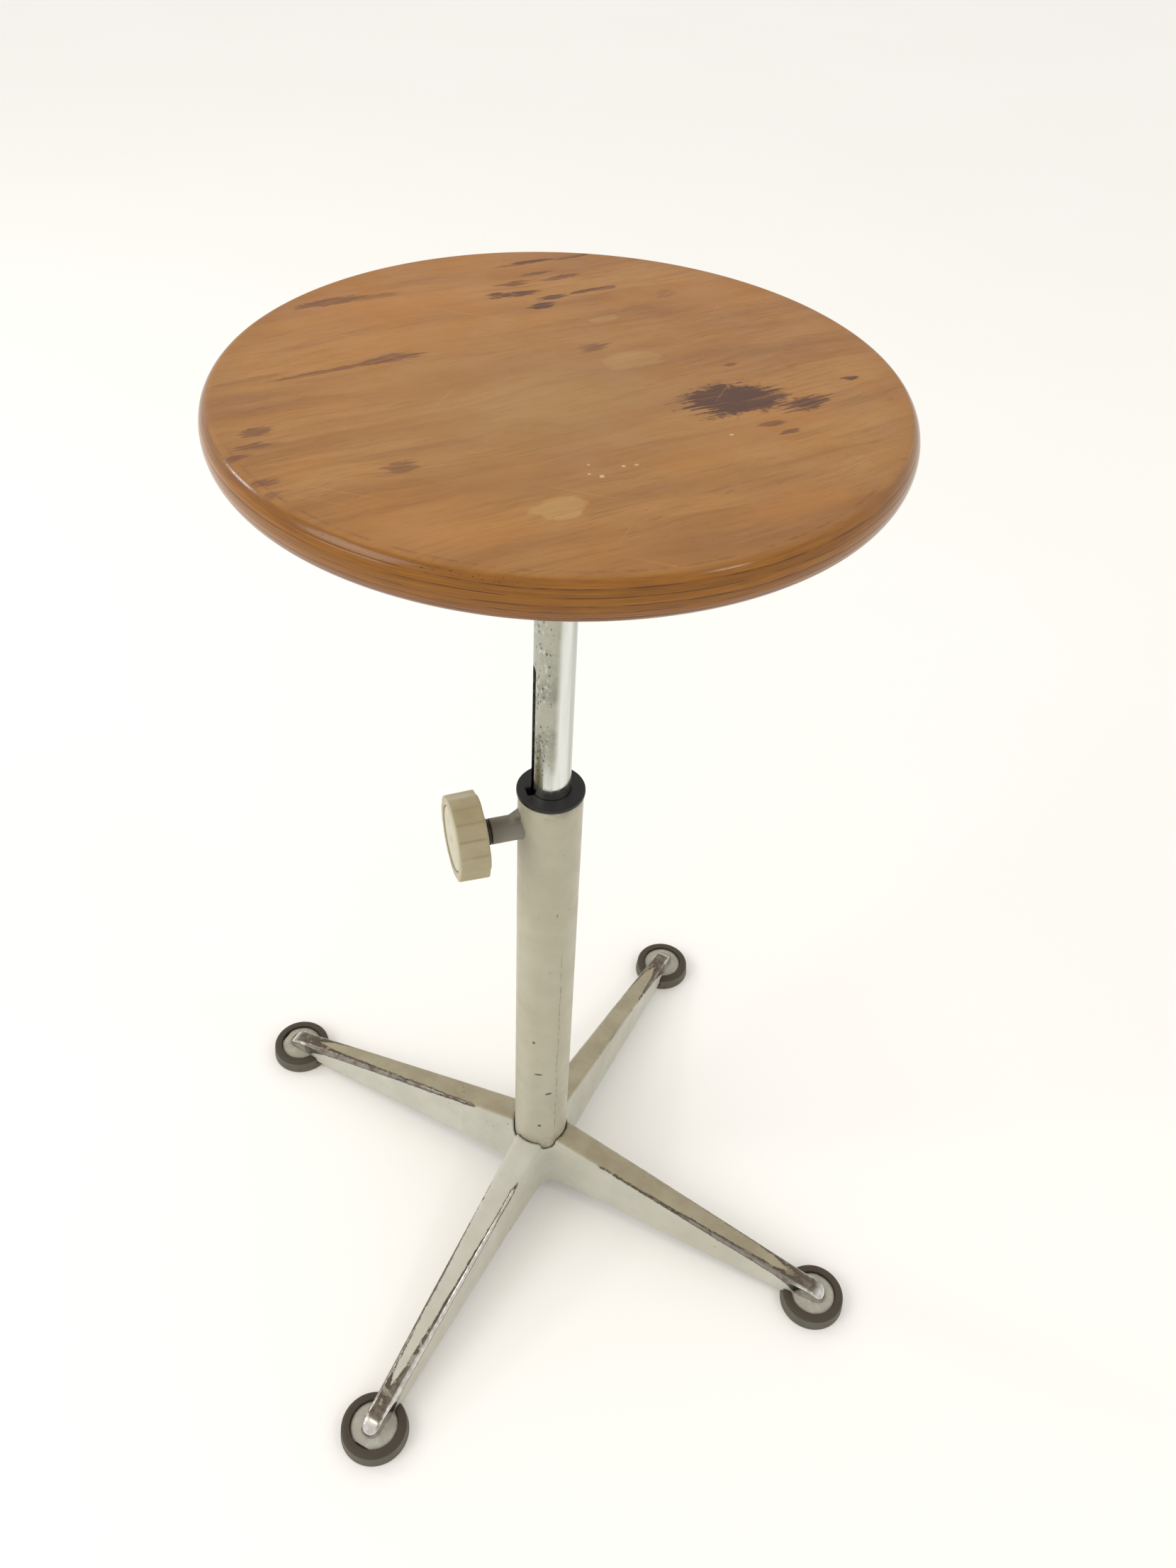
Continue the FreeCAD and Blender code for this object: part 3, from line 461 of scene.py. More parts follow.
def plywood():
    g = Graph("seat_plywood")
    lie = g.turn(g.place, GRAIN_AZ)
    warp = g.noise(g.stretched(lie, (0.007, 0.012, 0.02)), 1.0, 2.0)
    warp_y = g.times(g.minus(warp, 0.5), 34.0)
    grain_place = g.vector("ADD", lie, g.combine(0.0, warp_y, 0.0))
    broad = g.noise(g.stretched(grain_place, (0.005, 0.030, 0.01)), 1.0, 5.0, 0.62)
    medium = g.noise(g.stretched(grain_place, (0.012, 0.21, 0.1)), 1.0, 7.0, 0.72)
    fine = g.noise(g.stretched(grain_place, (0.030, 0.60, 0.5)), 1.0, 6.0, 0.74)
    fleck = g.noise(g.stretched(grain_place, (0.09, 1.5, 1.0)), 1.0, 2.0, 0.5)
    fleck = g.span(fleck, 0.62, 0.72)
    blotch_top = g.noise(g.stretched(grain_place, (0.012, 0.02, 0.01)), 1.0, 3.0, 0.5)
    flat_place = g.stretched(g.place, (1.0, 1.0, 0.0))
    radius = g.vector("LENGTH", flat_place)

    wood = g.ramp(broad, (0.30, WOOD_DARK), (0.46, WOOD_MID), (0.60, WOOD_LIGHT), (0.74, WOOD_MID))
    wood = g.blend(g.span(medium, 0.48, 0.70, 0.0, 0.65), wood, WOOD_DARK)
    wood = g.blend(g.span(medium, 0.48, 0.30, 0.0, 0.40), wood, WOOD_LIGHT)
    wood = g.blend(g.span(fine, 0.50, 0.74, 0.0, 0.48), wood, WOOD_LINE)
    wood = g.blend(g.times(fleck, 0.48), wood, WOOD_LINE)
    wood = g.blend(g.span(blotch_top, 0.48, 0.68, 0.0, 0.35), wood, WOOD_ORANGE)
    left = g.span(g.vector("DISTANCE", flat_place, (-110.0, 30.0, 0.0)), 130.0, 30.0, 0.0, 0.45)
    wood = g.blend(g.times(left, g.span(medium, 0.70, 0.40, 0.5, 1.0)), wood, WOOD_ORANGE)
    middle = g.vector("DISTANCE", g.stretched(g.place, (1.0, 1.0, 0.0)), (5.0, -20.0, 0.0))
    worn = g.times(g.span(middle, 125.0, 15.0, 0.0, 0.62), g.span(medium, 0.66, 0.36, 0.55, 1.0))
    wood = g.blend(worn, wood, WOOD_WORN)
    wood = g.blend(g.span(radius, 148.0, 170.0, 0.0, 0.35), wood, WOOD_RIM)

    streak = g.noise(g.stretched(grain_place, (0.012, 0.62, 0.3)), 1.0, 4.0, 0.75)
    ragged = g.noise(g.place, 0.13, 5.0, 0.72)
    slide = g.minus(streak, 0.5)
    lumps = g.minus(ragged, 0.5)
    stain = None
    for x, y, half_long, half_wide, dark, rag in SEAT_STAINS:
        moved = g.vector("ADD", lie, g.combine(g.times(slide, 10.0 * rag), 0.0, 0.0))
        reach = g.plus(grain_reach(g, moved, x, y, half_long, half_wide), g.times(lumps, 1.3))
        spot = g.span(reach, 1.15, 0.72, 0.0, dark)
        stain = spot if stain is None else g.larger(stain, spot)
    streaky = g.span(fine, 0.68, 0.42, 0.50, 1.0)
    stain = g.times(stain, streaky, clamp=True)
    wood = g.blend(g.span(stain, 0.0, 0.45, 0.0, 0.45), wood, srgb(128, 80, 44))
    wood = g.blend(g.span(stain, 0.25, 0.85, 0.0, 0.88), wood, srgb(70, 46, 42))
    halo = g.span(stain, 0.2, 0.7)

    pale = None
    pale_noise = g.sway(g.stretched(grain_place, (0.05, 0.12, 0.1)), 1.0, 4.0, 0.6)
    for x, y, half_long, half_wide, light in PALE_MARKS:
        reach = g.plus(grain_reach(g, lie, x, y, half_long, half_wide), g.times(pale_noise, 1.6))
        spot = g.span(reach, 1.1, 0.85 if half_long < 40 else 0.1, 0.0, light)
        pale = spot if pale is None else g.larger(pale, spot)
    wood = g.blend(g.times(pale, g.span(fine, 0.30, 0.65, 1.0, 0.6)), wood, WOOD_PALE)
    for x, y in PALE_SPECKS:
        away = g.vector("DISTANCE", flat_place, (x, y, 0.0))
        away = g.plus(away, g.times(lumps, 8.0))
        wood = g.blend(g.span(away, 0.7, 0.1, 0.0, 0.6), wood, srgb(214, 188, 144))

    scratch = g.span(g.noise(g.turn(g.place, 12.0, (0.007, 0.30, 0.2)), 1.0, 2.0, 0.4), 0.71, 0.75)
    scratch_two = g.span(g.noise(g.turn(g.place, 96.0, (0.012, 0.4, 0.2)), 1.0, 2.0, 0.4), 0.72, 0.76)
    scratches = g.larger(scratch, scratch_two)
    wood = g.blend(g.times(scratches, 0.18), wood, WOOD_PALE)

    depth = g.minus(SEAT_TOP, g.z)
    waver = g.sway(g.place, 0.02, 2.0)
    depth = g.plus(depth, g.times(waver, 0.9))
    angle = g.math("ARCTAN2", g.y, g.x)
    edge = EDGE_GOLD
    for index, start in enumerate((0.0,) + GLUE_DEPTHS):
        lay = math.radians(GRAIN_AZ + 90.0 * (index % 2))
        end_grain = g.math("ABSOLUTE", g.math("COSINE", g.minus(angle, lay)))
        side_tone = g.blend(g.times(end_grain, 0.55), EDGE_GOLD, EDGE_BROWN)
        edge = g.blend(g.span(depth, start - 0.25, start + 0.25), edge, side_tone)
    edge = g.blend(g.span(depth, 13.0, 20.0, 0.0, 0.75), edge, EDGE_RED)
    round_place = g.combine(g.times(angle, SEAT_R), g.z, 0.0)
    fibres = g.noise(g.stretched(round_place, (0.03, 1.1, 1.0)), 1.0, 5.0, 0.65)
    blotch = g.noise(g.stretched(round_place, (0.03, 0.14, 1.0)), 1.0, 4.0, 0.6)
    edge = g.blend(g.span(fibres, 0.46, 0.72, 0.0, 0.42), edge, EDGE_LINE)
    edge = g.blend(g.span(fibres, 0.50, 0.28, 0.0, 0.30), edge, EDGE_LIGHT)
    edge = g.blend(g.span(blotch, 0.50, 0.75, 0.0, 0.40), edge, EDGE_RED)
    line = None
    for start in GLUE_DEPTHS:
        here = g.span(g.math("ABSOLUTE", g.minus(depth, start)), 0.42, 0.10)
        line = here if line is None else g.larger(line, here)
    gaps = g.span(g.noise(g.stretched(round_place, (0.05, 0.4, 1.0)), 1.0, 3.0), 0.36, 0.58)
    toward = g.math("COSINE", g.minus(angle, math.radians(-45.0)))
    clear = g.span(toward, 0.45, 0.95, 0.25, 1.0)
    line = g.times(g.times(line, gaps), clear)
    edge = g.blend(g.times(line, 0.80), edge, srgb(72, 38, 20))
    dashes = g.span(g.noise(g.stretched(round_place, (0.5, 1.4, 1.0)), 1.0, 3.0, 0.6), 0.60, 0.68)
    band = g.times(g.span(depth, 0.6, 1.6), g.span(depth, 4.4, 2.8))
    pitted = g.span(g.math("COSINE", g.minus(angle, math.radians(-84.0))), 0.93, 0.985)
    edge = g.blend(g.times(g.times(dashes, band), pitted), edge, srgb(66, 36, 22))

    on_edge = g.span(g.minus(SEAT_TOP, g.z), 0.15, 1.2)
    colour = g.blend(on_edge, wood, edge)
    seam = g.span(g.math("ABSOLUTE", g.minus(radius, SEAT_R - EDGE_DEPTH - 1.0)), 1.3, 0.3)
    seam = g.times(seam, g.span(g.z, SEAT_TOP - 1.5, SEAT_TOP - 0.6))
    seam = g.times(seam, g.span(g.noise(round_place, 0.08, 4.0, 0.7), 0.42, 0.64, 0.0, 0.45))
    near_front = g.span(g.math("COSINE", g.minus(angle, math.radians(-62.0))), 0.2, 0.75)
    colour = g.blend(g.times(seam, near_front), colour, srgb(104, 62, 30))
    under = g.span(g.z, SEAT_TOP - SEAT_T + 0.6, SEAT_TOP - SEAT_T + 0.1)
    below = g.blend(g.span(medium, 0.40, 0.70), srgb(168, 124, 76), srgb(140, 96, 56))
    colour = g.blend(under, colour, below)

    smudge = g.noise(g.place, 0.035, 4.0, 0.65)
    rough = g.span(smudge, 0.30, 0.72, 0.44, 0.58)
    rough = g.between(halo, rough, 0.65)
    rough = g.between(on_edge, rough, g.span(blotch, 0.35, 0.7, 0.10, 0.20))
    relief = g.plus(g.times(fine, 0.5), g.times(fleck, -0.4))
    relief = g.plus(relief, g.times(scratches, -0.35))
    relief = g.minus(relief, g.times(g.times(line, on_edge), 1.2))
    g.bump(relief, 0.30, 0.10)
    return g.finish(colour, rough, 0.0, Specular_IOR_Level=0.38)


def enamel(name, tone, base_wear=False):
    """Grey-beige enamel with scratches, chips and dirt, whose dirt channel on the base also carries painted
    shade; on the base it is worn off the edges.
    """
    g = Graph(name)
    mottle = g.noise(g.place, 0.045, 5.0, 0.6)
    clouds = g.noise(g.place, 0.010, 3.0, 0.5)
    colour = g.blend(g.span(mottle, 0.35, 0.68), tone, tuple(c * 0.92 for c in tone))
    colour = g.blend(g.span(clouds, 0.40, 0.70, 0.0, 0.30), colour, srgb(166, 155, 126))
    peel = g.noise(g.place, 0.55, 2.0, 0.5)
    dots = g.cells(g.place, 0.16)
    dot_size = g.noise(g.place, 0.05, 2.0)
    chips = g.times(g.span(dots.outputs["Distance"], 0.13, 0.07), g.span(dot_size, 0.58, 0.66))
    scuff = g.noise(g.stretched(g.place, (0.9, 0.9, 0.03)), 1.0, 3.0, 0.6)
    scuffs = g.span(scuff, 0.68, 0.74)
    dirt = g.noise(g.place, 0.11, 5.0, 0.7)
    colour = g.blend(g.times(scuffs, 0.16), colour, srgb(120, 112, 92))
    grime_and_shade = g.attribute("grime_and_shade")
    murk = g.times(grime_and_shade, g.span(dirt, 0.28, 0.60, 0.25, 1.0), clamp=True)
    bare = None
    if base_wear:
        crown = g.attribute("crown")
        # Upward faces, as marked by crown, get a darker, yellower tone.
        top_face_tone = g.blend(g.span(mottle, 0.3, 0.7), srgb(160, 151, 126), srgb(146, 136, 110))
        colour = g.blend(crown, colour, top_face_tone)
        wear = g.attribute("wear")
        chip_noise = g.sway(g.place, 0.22, 5.0, 0.72)
        slow_noise = g.sway(g.place, 0.05, 3.0, 0.5)
        wear = g.plus(wear, g.times(chip_noise, 3.4))
        wear = g.plus(wear, g.times(slow_noise, 1.6))
        bare = g.span(wear, 0.0, 0.28)
        island = g.times(g.span(g.noise(g.place, 0.17, 3.0, 0.6), 0.55, 0.59), g.span(wear, 9.0, 5.0))
        island = g.times(island, g.span(g.attribute("level"), 0.5, 0.9))
        bare = g.times(bare, g.minus(1.0, island))
        border = g.minus(g.span(wear, -0.55, 0.0), bare, clamp=True)
        # Dirt, together with the painted shade at the column's mouth and in the valleys between the arms,
        # darkens the base enamel towards brown.
        colour = g.blend(g.times(murk, 0.72), colour, srgb(88, 72, 48))
        colour = g.blend(g.times(border, 0.55), colour, srgb(96, 82, 62))
    else:
        turn = g.math("ARCTAN2", g.y, g.x)
        seam = g.plus(turn, math.radians(30.0))
        drift = g.sway(g.combine(0.0, 0.0, g.z), 0.02, 3.0)
        seam = g.plus(seam, g.times(drift, 0.28))
        seam = g.span(g.math("ABSOLUTE", seam), 0.030, 0.008)
        seam = g.times(seam, g.span(g.z, 312.0, 285.0))
        broken = g.span(g.noise(g.combine(0.0, 0.0, g.z), 0.09, 3.0), 0.44, 0.54)
        seam = g.times(seam, broken)
        colour = g.blend(g.times(seam, 0.6), colour, srgb(118, 108, 86))
        for x, y, z, wide, tall in COLUMN_CHIPS:
            local = g.stretched(g.vector("SUBTRACT", g.place, (x, y, z)), (1 / wide, 1 / wide, 1 / tall))
            reach = g.plus(g.vector("LENGTH", local), g.times(g.minus(dirt, 0.5), 1.4))
            chips = g.larger(chips, g.span(reach, 1.1, 0.8))
        low_grime = g.times(g.span(g.z, 80.0, 66.0), g.span(dirt, 0.36, 0.60))
        high_grime = g.times(g.span(g.z, 428.0, 440.0), g.span(dirt, 0.40, 0.62))
        around = g.larger(g.times(low_grime, 0.40), g.times(high_grime, 0.30))
        colour = g.blend(g.larger(around, murk), colour, srgb(92, 76, 54))
    colour = g.blend(g.times(chips, 0.85), colour, srgb(62, 54, 42))
    rough = g.span(mottle, 0.3, 0.7, 0.32, 0.46)
    metal = 0.0
    relief = g.minus(g.times(peel, 0.22), g.times(chips, 0.8))
    if bare is not None:
        brushed = g.noise(g.place, 0.22, 3.0, 0.5)
        patina = g.blend(g.span(brushed, 0.3, 0.7), srgb(56, 46, 36), srgb(96, 82, 64))
        # Painted reflection: bare steel gets a light tone on sloping faces and edges and a dark one on level
        # tops, standing in for the bright and dark surroundings it mirrors.
        sheen_steel = g.blend(g.span(brushed, 0.35, 0.70), srgb(216, 216, 212), srgb(186, 182, 174))
        dark = g.blend(g.span(brushed, 0.35, 0.70), srgb(126, 118, 106), srgb(98, 88, 76))
        steel = g.blend(g.attribute("level"), sheen_steel, dark)
        shine = g.times(g.span(wear, 0.4, 1.3), g.attribute("shine"), clamp=True)
        worn_tip = g.noise(g.place, 0.10, 3.0, 0.6)
        steady = g.span(g.attribute("shine"), 0.80, 0.95)
        shine = g.times(shine, g.larger(steady, g.span(worn_tip, 0.34, 0.54, 0.30, 1.0)))
        colour = g.blend(bare, colour, g.blend(shine, patina, steel))
        metal = g.times(bare, g.span(shine, 0.0, 0.6, 0.35, 1.0))
        rough = g.between(bare, rough, g.span(brushed, 0.3, 0.7, 0.12, 0.24))
        relief = g.minus(g.times(relief, g.minus(1.0, bare)), g.times(bare, 0.5))
    g.bump(relief, 0.4, 0.14)
    return g.finish(colour, rough, metal, Specular_IOR_Level=0.4)


def chrome():
    g = Graph("mast_chrome")
    angle = g.math("ARCTAN2", g.y, g.x)
    # Part oxide, part painted reflection: the tube's front-left side, more so higher up and fading out near
    # the collar, is made rougher with blisters, which is the tube's own finish, and darker, which stands in
    # for the dark seat underside it mirrors.
    turn = g.math("COSINE", g.minus(angle, math.radians(-102.0)))
    waver = g.sway(g.stretched(g.place, (0.05, 0.05, 0.012)), 1.0, 3.0, 0.5)
    climb = g.span(g.z, 470.0, 640.0, 0.0, 0.22, smooth=False)
    side = g.plus(g.plus(turn, climb), g.times(waver, 0.35))
    side = g.span(side, 0.52, 0.80)
    fade = g.span(g.plus(g.z, g.times(waver, 60.0)), 448.0, 486.0)
    dull_and_dark_reflection = g.times(side, fade)
    streak = g.noise(g.stretched(g.place, (0.45, 0.45, 0.016)), 1.0, 5.0, 0.6)
    cloud = g.noise(g.place, 0.06, 4.0, 0.6)
    blisters = g.noise(g.stretched(g.place, (0.42, 0.42, 0.20)), 1.0, 4.0, 0.7)
    pits = g.cells(g.stretched(g.place, (0.42, 0.42, 0.26)), 1.0)
    rich = g.span(g.math("COSINE", g.minus(angle, math.radians(-112.0))), 0.55, 0.90)
    rich = g.times(g.times(rich, fade), g.span(cloud, 0.26, 0.46))
    pit = g.times(g.span(pits.outputs["Distance"], 0.34, 0.14), rich)
    crust = g.times(g.span(blisters, 0.50, 0.66), rich)
    colour = g.blend(g.span(streak, 0.42, 0.70, 0.0, 0.35), srgb(226, 229, 225), srgb(188, 190, 184))
    # Painted reflection: the back-right side of the tube, seen as its right edge, is toned greyer and made
    # rougher.
    far = g.span(g.math("COSINE", g.minus(angle, math.radians(72.0))), -0.02, 0.28)
    far = g.times(far, g.span(streak, 0.70, 0.40, 0.45, 0.85))
    colour = g.blend(far, colour, srgb(176, 174, 168))
    dull_and_reflection_tone = g.blend(g.span(cloud, 0.35, 0.65), srgb(172, 172, 158), srgb(146, 146, 134))
    colour = g.blend(dull_and_dark_reflection, colour, dull_and_reflection_tone)
    colour = g.blend(g.times(crust, 0.7), colour, srgb(208, 212, 208))
    colour = g.blend(g.times(pit, 0.85), colour, srgb(74, 72, 64))
    rough = g.plus(g.span(streak, 0.35, 0.75, 0.08, 0.20), g.times(far, 0.12))
    rough = g.between(dull_and_dark_reflection, rough, g.span(blisters, 0.35, 0.65, 0.28, 0.42))
    g.bump(g.minus(g.times(crust, 0.8), pit), 0.4, 0.10)
    return g.finish(colour, rough, 1.0)


def rubber():
    g = Graph("foot_rubber")
    cloud = g.noise(g.place, 0.09, 5.0, 0.65)
    grit = g.noise(g.place, 0.9, 4.0, 0.7)
    colour = g.blend(g.span(cloud, 0.35, 0.68), srgb(84, 81, 69), srgb(99, 95, 81))
    colour = g.blend(g.span(grit, 0.60, 0.80, 0.0, 0.35), colour, srgb(120, 112, 94))
    crest = g.span(g.plus(g.z, g.times(grit, 0.6)), 9.6, 11.0)
    colour = g.blend(g.times(crest, 0.9), colour, g.blend(cloud, srgb(52, 43, 31), srgb(72, 62, 48)))
    # Painted light: the shoe's lowest 2 mm is lightened as if lit from the pale floor, broken up by the grit
    # noise.
    floor_lit_band = g.span(g.z, 2.2, 0.4, 0.0, 0.5)
    colour = g.blend(g.times(floor_lit_band, g.span(grit, 0.4, 0.7)), colour, srgb(130, 124, 108))
    g.bump(g.plus(grit, g.times(cloud, 0.6)), 0.5, 0.2)
    return g.finish(colour, g.span(cloud, 0.3, 0.7, 0.50, 0.72), 0.0, Specular_IOR_Level=0.4)


def black_collar():
    g = Graph("collar_plastic")
    cloud = g.noise(g.place, 0.12, 4.0, 0.6)
    radius = g.vector("LENGTH", g.stretched(g.place, (1.0, 1.0, 0.0)))
    turned_lines = g.noise(g.combine(radius, g.times(g.z, 0.4), 0.0), 1.6, 3.0)
    dust = g.noise(g.place, 0.7, 4.0, 0.7)
    colour = g.blend(g.span(cloud, 0.35, 0.7), srgb(27, 27, 27), srgb(38, 38, 37))
    colour = g.blend(g.span(dust, 0.64, 0.80, 0.0, 0.30), colour, srgb(96, 92, 82))
    g.bump(g.plus(turned_lines, dust), 0.2, 0.05)
    return g.finish(colour, g.span(cloud, 0.3, 0.7, 0.40, 0.55), 0.0, Specular_IOR_Level=0.3)


def ivory(name, tone, dirt_tone):
    g = Graph(name)
    cloud = g.noise(g.place, 0.07, 4.0, 0.6)
    fine = g.noise(g.place, 1.1, 3.0, 0.6)
    colour = g.blend(g.span(cloud, 0.32, 0.70), tone, tuple(c * 0.90 for c in tone))
    crease = g.attribute("grime_and_shade")
    murk = g.times(crease, g.span(cloud, 0.25, 0.60, 0.45, 1.0), clamp=True)
    colour = g.blend(murk, colour, dirt_tone)
    speck = g.span(g.cells(g.place, 0.30).outputs["Distance"], 0.14, 0.07)
    speck = g.times(speck, g.span(g.noise(g.place, 0.09, 2.0), 0.55, 0.65))
    colour = g.blend(g.times(speck, 0.5), colour, srgb(110, 96, 70))
    g.bump(g.plus(g.times(fine, 0.5), g.times(murk, -0.5)), 0.3, 0.08)
    return g.finish(colour, g.span(cloud, 0.3, 0.7, 0.34, 0.48), 0.0, Subsurface_Weight=0.06)


def plain_steel(name, tone, low=0.25, high=0.5, metal=0.95):
    g = Graph(name)
    cloud = g.noise(g.place, 0.15, 4.0, 0.65)
    lines = g.noise(g.stretched(g.place, (0.9, 0.9, 0.12)), 1.0, 4.0, 0.6)
    colour = g.blend(g.span(cloud, 0.35, 0.7), tone, tuple(c * 0.62 for c in tone))
    rust = g.span(g.noise(g.place, 0.22, 5.0, 0.7), 0.62, 0.74, 0.0, 0.35)
    colour = g.blend(rust, colour, srgb(112, 74, 44))
    g.bump(lines, 0.35, 0.06)
    return g.finish(colour, g.span(lines, 0.3, 0.7, low, high), metal)


MATERIALS = {
    "plywood": plywood(),
    "column_paint": enamel("column_enamel", srgb(178, 174, 153)),
    "cast_paint": enamel("base_enamel", srgb(196, 195, 182), True),
    # Painted shade: the boss's enamel is a darker copy of the column's, standing in for the shade under the
    # collar and seat.
    "boss_paint_shaded": enamel("boss_enamel_shaded", srgb(122, 120, 108)),
    "chrome_tube": chrome(),
    "rubber": rubber(),
    "black_plastic": black_collar(),
    "knob_plastic": ivory("knob_ivory", srgb(166, 156, 123), srgb(92, 76, 44)),
    "cap_plastic": ivory("cap_ivory", srgb(192, 184, 156), srgb(112, 98, 66)),
    "zinc_steel": plain_steel("zinc_steel", srgb(178, 176, 168)),
    "bronze": plain_steel("bush_bronze", srgb(176, 134, 76)),
    "nylon": plain_steel("guide_nylon", srgb(214, 208, 190), 0.4, 0.55, 0.0),
    "black_steel": plain_steel("blackened_steel", srgb(50, 48, 44), 0.35, 0.55, 0.5),
}


def paint(piece, slot):
    piece.data.materials.clear()
    piece.data.materials.append(MATERIALS[slot])


# ---- seat -------------------------------------------------------------------------------------
def build_seat():
    """Plywood disc: nearly flat top, fully rounded rim with sunken glue lines, pocket underneath."""
    middle = SEAT_TOP - SEAT_T / 2
    rim = SEAT_R - EDGE_DEPTH
    profile = [(0.0, SEAT_TOP)]
    profile += [(float(r), SEAT_TOP) for r in np.linspace(8, rim - 4, 24)]
    steps = 88
    for k in range(steps + 1):
        angle = math.pi / 2 - math.pi * k / steps
        depth = SEAT_T / 2 * (1 - math.sin(angle))
        sunk = sum(0.16 * math.exp(-((depth - glue) / 0.3) ** 2) for glue in GLUE_DEPTHS)
        profile.append((rim + (EDGE_DEPTH - sunk) * math.cos(angle), middle + SEAT_T / 2 * math.sin(angle)))
    low = SEAT_TOP - SEAT_T
    profile += [(float(r), low) for r in np.linspace(rim - 4, POCKET_R + 1, 12)]
    profile += [(POCKET_R, low + 0.6), (POCKET_R, low + POCKET_D), (0.0, low + POCKET_D)]
    verts, faces = lathe(profile[::-1], 288)
    piece = add_object("seat_board", verts, faces, "seat", "plywood", ["seat_disc"])
    return piece


build_seat()


# ---- mast -------------------------------------------------------------------------------------
def build_mast():
    """Chromed tube with a round-ended keyway open to its bore."""
    low, high = KEY_Z
    levels = list(np.linspace(TUBE_Z[0] + 0.8, low - KEY_HALF - 2, 6))
    ends = np.sin(np.linspace(0, math.pi / 2, 9))
    levels += [low - KEY_HALF * e for e in ends[::-1]]
    levels += list(np.linspace(low, high, 24)[1:-1])
    levels += [high + KEY_HALF * e for e in ends]
    levels += list(np.linspace(high + KEY_HALF + 2, TUBE_Z[1] - 0.8, 8))
    count = 96
    verts, sheets = [], []
    for radius in (TUBE_R, TUBE_BORE):
        sheet = []
        for z in levels:
            past = max(low - z, z - high, 0.0)
            half = math.sqrt(max(KEY_HALF ** 2 - past ** 2, 0.0))
            gap = math.asin(half / radius)
            row = []
            for k in range(count + 1):
                if half == 0 and k == count:
                    row.append(row[0])
                    continue
                angle = math.radians(KEY_AZ) + gap + (2 * math.pi - 2 * gap) * k / count
                row.append(len(verts))
                verts.append((radius * math.cos(angle), radius * math.sin(angle), z))
            sheet.append(row)
        sheets.append(sheet)
    faces = []
    outer, inner = sheets
    for n in range(len(levels) - 1):
        for k in range(count):
            faces.append((outer[n][k], outer[n][k + 1], outer[n + 1][k + 1], outer[n + 1][k]))
            faces.append((inner[n][k + 1], inner[n][k], inner[n + 1][k], inner[n + 1][k + 1]))
        for k, flip in ((0, False), (count, True)):
            wall = (inner[n][k], outer[n][k], outer[n + 1][k], inner[n + 1][k])
            open_here = outer[n][0] != outer[n][count] or outer[n + 1][0] != outer[n + 1][count]
            if open_here:
                faces.append(wall[::-1] if flip else wall)
    for n, z, flip in ((0, TUBE_Z[0], True), (len(levels) - 1, TUBE_Z[1], False)):
        rings = []
        for radius in (TUBE_R - 0.8, TUBE_BORE + 0.4):
            ring = list(range(len(verts), len(verts) + count))
            for k in range(count):
                angle = math.radians(KEY_AZ) + 2 * math.pi * k / count
                verts.append((radius * math.cos(angle), radius * math.sin(angle), z))
            rings.append(ring)
        chain = [outer[n][:count], rings[0], rings[1], inner[n][:count]]
        for a, b in zip(chain[:-1], chain[1:]):
            for k in range(count):
                m = (k + 1) % count
                quad = (a[k], a[m], b[m], b[k])
                faces.append(quad[::-1] if flip else quad)
    piece = add_object("mast_tube", verts, faces, "mast", "chrome_tube", ["inner_tube"])
    piece.data.shade_smooth()
    sharpen(piece, 40)


def sharpen(piece, degrees):
    """Keeps edges sharper than an angle crisp in a smooth-shaded piece."""
    piece.data.set_sharp_from_angle(angle=math.radians(degrees))


build_mast()


# ---- column, collar and clamp -------------------------------------------------------------------
def drill(piece, radius):
    """Cuts the clamp's round hole through one wall of a piece."""
    profile = [(0.0, 10.0), (radius, 10.0), (radius, 30.0), (0.0, 30.0)]
    verts, faces = lathe(profile, 48)
    cutter_mesh = bpy.data.meshes.new("cutter")
    points = [tuple(p) for p in lay_on_clamp(verts) * MM]
    cutter_mesh.from_pydata(points, [], faces)
    cutter = bpy.data.objects.new("cutter", cutter_mesh)
    bpy.context.scene.collection.objects.link(cutter)
    cut = piece.modifiers.new("hole", "BOOLEAN")
    cut.operation, cut.solver, cut.object = "DIFFERENCE", "EXACT", cutter
    shape = piece.evaluated_get(bpy.context.evaluated_depsgraph_get())
    mesh = bpy.data.meshes.new_from_object(shape)
    piece.modifiers.clear()
    piece.data = mesh
    bpy.data.objects.remove(cutter)
    bpy.data.meshes.remove(cutter_mesh)


def build_column():
    """Steel tube with softened ends."""
    low, high = COLUMN_Z
    profile = [(COLUMN_R - 0.8, low), (COLUMN_R, low + 0.8)]
    profile += [(COLUMN_R, float(z)) for z in np.linspace(low + 10, high - 3, 24)]
    profile += [(COLUMN_R, high - 0.5), (COLUMN_R - 0.5, high), (COLUMN_BORE, high), (COLUMN_BORE, low)]
    verts, faces = lathe(profile, 128)
    piece = add_object("column_skin", verts, faces, "base", "column_paint", ["column_tube"])
    drill(piece, CLAMP_HOLE_R)
    sharpen(piece, 50)
    paint(piece, "column_paint")


build_column()


